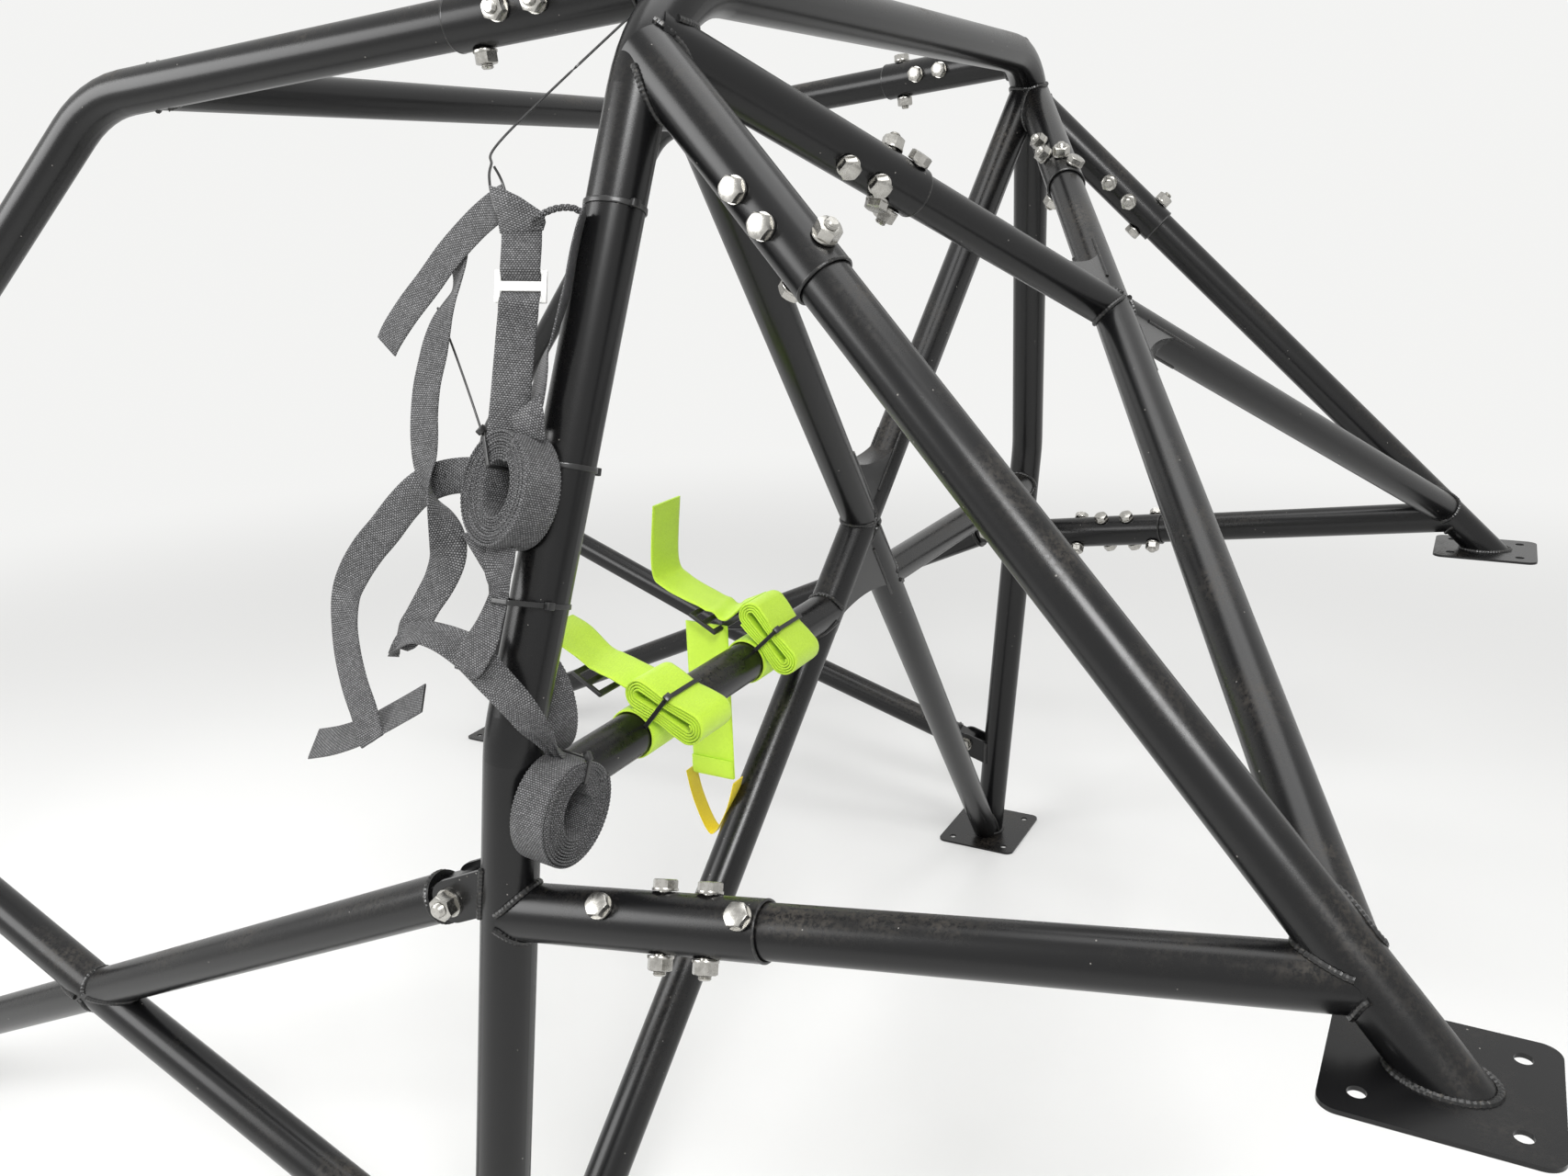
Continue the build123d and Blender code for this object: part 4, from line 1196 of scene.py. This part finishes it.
def flat_roll(centre, forward, upward):
    """A belt wound flat on itself and drawn in by its tie."""
    pitch = (BELT_ROLL_THICKNESS / 2 - BELT_SHEET / 2 - BELT_ROLL_START) / BELT_ROLL_LAYERS
    half = BELT_ROLL_LENGTH / 2 - BELT_ROLL_THICKNESS / 2
    steps = 26
    rows = []
    for i in range(int(BELT_ROLL_LAYERS * 2 * steps) + 1):
        radius = BELT_ROLL_START + pitch * i / (2 * steps)
        end = half if (i // steps) % 2 == 0 else -half
        turn = pi * (0.5 - i / steps)
        rows.append((end + radius * cos(turn), radius * sin(turn)))
        if i % steps == steps - 1:
            rows += [(end * (1 - 2 * k / 9), radius * sin(turn)) for k in range(1, 9)]
    placed = []
    for x, y in rows:
        squeeze = 1 - 0.12 * exp(-((x / 0.011) ** 2))
        swell = 1 + 0.08 * exp(-(((abs(x) - half) / 0.018) ** 2))
        placed.append((centre + forward * x + upward * (y * squeeze * swell), WIDE))
    return strap(placed, BELT_WIDTH, BELT_SHEET, 0)


for belt_name, outer_x, tilt, slide, route in BELTS:
    middle_x = outer_x - BELT_WIDTH / 2
    forward = Vector((0, cos(radians(tilt)), -sin(radians(tilt))))
    upward = Vector((0, sin(radians(tilt)), cos(radians(tilt))))
    rise = BAR_OD / 2 + SOFT_GAP + BELT_SHEET + SOFT_GAP + BELT_ROLL_THICKNESS / 2
    roll_centre = belt_point(middle_x, 0, 0) + upward * rise + forward * slide
    roll = flat_roll(roll_centre, forward, upward)
    make_piece(f"belt_roll_{belt_name}", [roll], "belt_webbing", ("belt_rolls",), 80)

    band = []
    for k in range(64):
        turn = 2 * pi * k / 64
        band.append((belt_point(middle_x, BAND_RADIUS * cos(turn), BAND_RADIUS * sin(turn)), WIDE))
    wrapped = strap(band, BELT_WIDTH, BELT_SHEET, 0, closed=True)
    make_piece(f"belt_band_{belt_name}", [wrapped], "belt_webbing", ("belt_bands",), 80)

    skew = Vector((-1.0, -0.30, 0.05)).normalized()
    low, high = route[0], route[1]
    rows = [(roll_centre - forward * (BELT_ROLL_LENGTH / 2 - 0.002), WIDE * -1)]
    for behind, above in (
        (low[0] + 0.006, low[1] + 0.012), (low[0] - 0.008, low[1] + 0.016),
        (high[0] + 0.004, high[1] + 0.006),
    ):
        rows.append((belt_point(middle_x, behind, above), skew))
    for behind, above in route[2:]:
        rows.append((belt_point(middle_x, behind, above), WIDE * -1))
    forward_strap = strap(rows, BELT_WIDTH, BELT_SHEET)
    make_piece(f"belt_strap_{belt_name}", [forward_strap], "belt_webbing", ("belt_straps",), 80)

    low = Vector((0, route[0][0], route[0][1]))
    high = Vector((0, route[1][0], route[1][1]))
    climb = (high - low).normalized()
    under = Vector((0, -climb.z, climb.y))
    middle = (low + high) * 0.5 + under * (BELT_SHEET / 2 + SOFT_GAP + ADJUSTER_SHEET / 2)
    plate = belt_point(middle_x, middle.y, middle.z)
    shapes = []
    half = WIDE * ADJUSTER_HALF_WIDTH
    for shift in ADJUSTER_BARS:
        bar_at = plate + climb * shift
        shapes.append(bar_shape(bar_at - half, bar_at + half, climb * 0.005, ADJUSTER_SHEET))
    half = climb * ADJUSTER_HALF_LENGTH
    for way in (-1, 1):
        side_at = plate + WIDE * (way * ADJUSTER_SIDE)
        shapes.append(bar_shape(side_at - half, side_at + half, WIDE * 0.003, ADJUSTER_SHEET))
    make_piece(f"belt_adjuster_{belt_name}", shapes, "adjuster", ("belt_adjusters",), 60)

    base = belt_point(middle_x, 0, 0) + forward * (slide * 0.3)
    top = roll_centre + upward * TIE_OVER_ROLL
    way = (top - base).normalized()
    flat = base - belt_point(middle_x, 0, 0)
    reach = flat.dot(way) + sqrt(flat.dot(way) ** 2 - flat.length_squared + TIE_UNDER_BAND**2)
    bottom = base - way * reach
    half_height = (top - bottom).length / 2
    half_width = BELT_WIDTH / 2 + 0.0006
    corners = [(x, y, 0.0004) for x in (-half_width, half_width) for y in (-half_height, half_height)]
    tie = cable_tie((top + bottom) * 0.5, WIDE, way, corners, radians(58))
    make_piece(f"tie_belt_{belt_name}", tie, "tie", (), 60)

# Far belt's tail: a strap edge on to the bar, hemmed at its foot, with a thin yellow loop
TAIL_X = 0.243
TAIL_BEHIND = -0.0505
TAIL_DROP = 0.137
TAIL_HEIGHTS = (0.030, -0.010, -0.060, -0.100, -TAIL_DROP)
tail_rows = [(belt_point(TAIL_X, TAIL_BEHIND, above), BACK) for above in TAIL_HEIGHTS]
hem_rows = [
    (belt_point(TAIL_X + 0.0022, TAIL_BEHIND, -TAIL_DROP + 0.020), BACK),
    (belt_point(TAIL_X + 0.0024, TAIL_BEHIND, -TAIL_DROP + 0.004), BACK),
    (belt_point(TAIL_X + 0.0012, TAIL_BEHIND, -TAIL_DROP), BACK),
]
shapes = [strap(rows, BELT_WIDTH, BELT_SHEET) for rows in (tail_rows, hem_rows)]
make_piece("belt_tail", shapes, "belt_webbing", ("belt_straps",), 80)
LOOP = (
    (-0.079, -0.134), (-0.072, -0.165), (-0.058, -0.197), (-0.048, -0.199), (-0.032, -0.170),
    (-0.022, -0.138),
)
loop_rows = [(belt_point(TAIL_X, behind, above), WIDE) for behind, above in LOOP]
make_piece("belt_tail_loop", [strap(loop_rows, 0.020, 0.0012)], "loop_webbing", (), 80)

# Camera, matched to the photograph
PHOTO_WIDTH = 1707
FOCAL_PIXELS = 1411.03
SHIFT_PIXELS = -3
SENSOR_WIDTH = 36.0
camera = bpy.data.objects.new("camera", bpy.data.cameras.new("camera"))
bpy.context.scene.collection.objects.link(camera)
right = Vector((-0.4737, 0.8800, -0.0331)).normalized()
down = Vector((0.2705, 0.1096, -0.9564)).normalized()
ahead = Vector((-0.8381, -0.4621, -0.2900)).normalized()
camera.matrix_world = Matrix.Translation(Vector((1.2928, 0.8610, 1.0687))) @ Matrix(
    (right, -down, -ahead)
).transposed().to_4x4()
camera.data.sensor_width = SENSOR_WIDTH
camera.data.lens = SENSOR_WIDTH * FOCAL_PIXELS / PHOTO_WIDTH
camera.data.shift_y = SHIFT_PIXELS / PHOTO_WIDTH
camera.data.clip_start = 0.02
bpy.context.scene.camera = camera

# Pale floor that fades into a pale background, and soft studio light
PALE = (0.90, 0.90, 0.89, 1)
FLOOR_EDGE = 14.0
floor_mesh = bpy.data.meshes.new("floor")
corners = [(x * FLOOR_EDGE, y * FLOOR_EDGE, 0) for x, y in ((-1, -1), (1, -1), (1, 1), (-1, 1))]
floor_mesh.from_pydata(corners, [], [(0, 1, 2, 3)])
floor = bpy.data.objects.new("floor", floor_mesh)
floor.location.z = -0.0005
bpy.context.scene.collection.objects.link(floor)


def seen_directly(nodes):
    """1 for rays from the camera, and for those that it sees in metal or through glass."""
    path = nodes.add("ShaderNodeLightPath").outputs
    seen = nodes.math("MAXIMUM", path["Is Camera Ray"], path["Is Glossy Ray"])
    return nodes.math("MAXIMUM", seen, path["Is Transmission Ray"])


paint, nodes, shader = new_material("floor")
nodes.feed(shader, Base_Color=(0.80, 0.80, 0.79, 1), Roughness=0.9, Specular_IOR_Level=0.1)
distance = nodes.add("ShaderNodeVectorMath", "LENGTH", i0=nodes.place()).outputs["Value"]
fade = nodes.math("MULTIPLY", nodes.ramp(distance, 1.3, 4.0), seen_directly(nodes))
glow = nodes.add("ShaderNodeEmission", Color=PALE, Strength=1.0)
blend = nodes.add("ShaderNodeMixShader", i0=fade, i1=shader.outputs[0], i2=glow.outputs[0])
nodes.feed(nodes.tree.nodes["Material Output"], Surface=blend.outputs[0])
floor_mesh.materials.append(paint)

world = bpy.data.worlds.new("studio")
bpy.context.scene.world = world
world.use_nodes = True
nodes = Nodes(world.node_tree)
studio = nodes.feed(nodes.tree.nodes["Background"], Color=(1, 1, 1, 1), Strength=0.55).outputs[0]
plain = nodes.add("ShaderNodeBackground", Color=PALE, Strength=1.0).outputs[0]
chosen = nodes.add("ShaderNodeMixShader", i0=seen_directly(nodes), i1=studio, i2=plain)
nodes.feed(nodes.tree.nodes["World Output"], Surface=chosen.outputs[0])


def area_light(name, place, aim, size, watts):
    """A soft rectangular light that looks at a point."""
    lamp = bpy.data.lights.new(name, "AREA")
    lamp.shape = "RECTANGLE"
    lamp.size, lamp.size_y = size
    lamp.energy = watts
    light = bpy.data.objects.new(name, lamp)
    light.location = place
    light.rotation_euler = (Vector(aim) - Vector(place)).to_track_quat("-Z", "Y").to_euler()
    bpy.context.scene.collection.objects.link(light)


area_light("key", (2.4, 1.9, 2.9), (0.2, 0.2, 0.7), (1.2, 0.9), 85)
area_light("side", (2.0, -1.5, 1.7), (0.4, 0.2, 0.8), (1.6, 1.3), 42)
area_light("top", (0.0, 0.4, 3.2), (0.0, 0.2, 0.6), (2.2, 2.2), 45)

bpy.context.scene.view_settings.view_transform = "Standard"
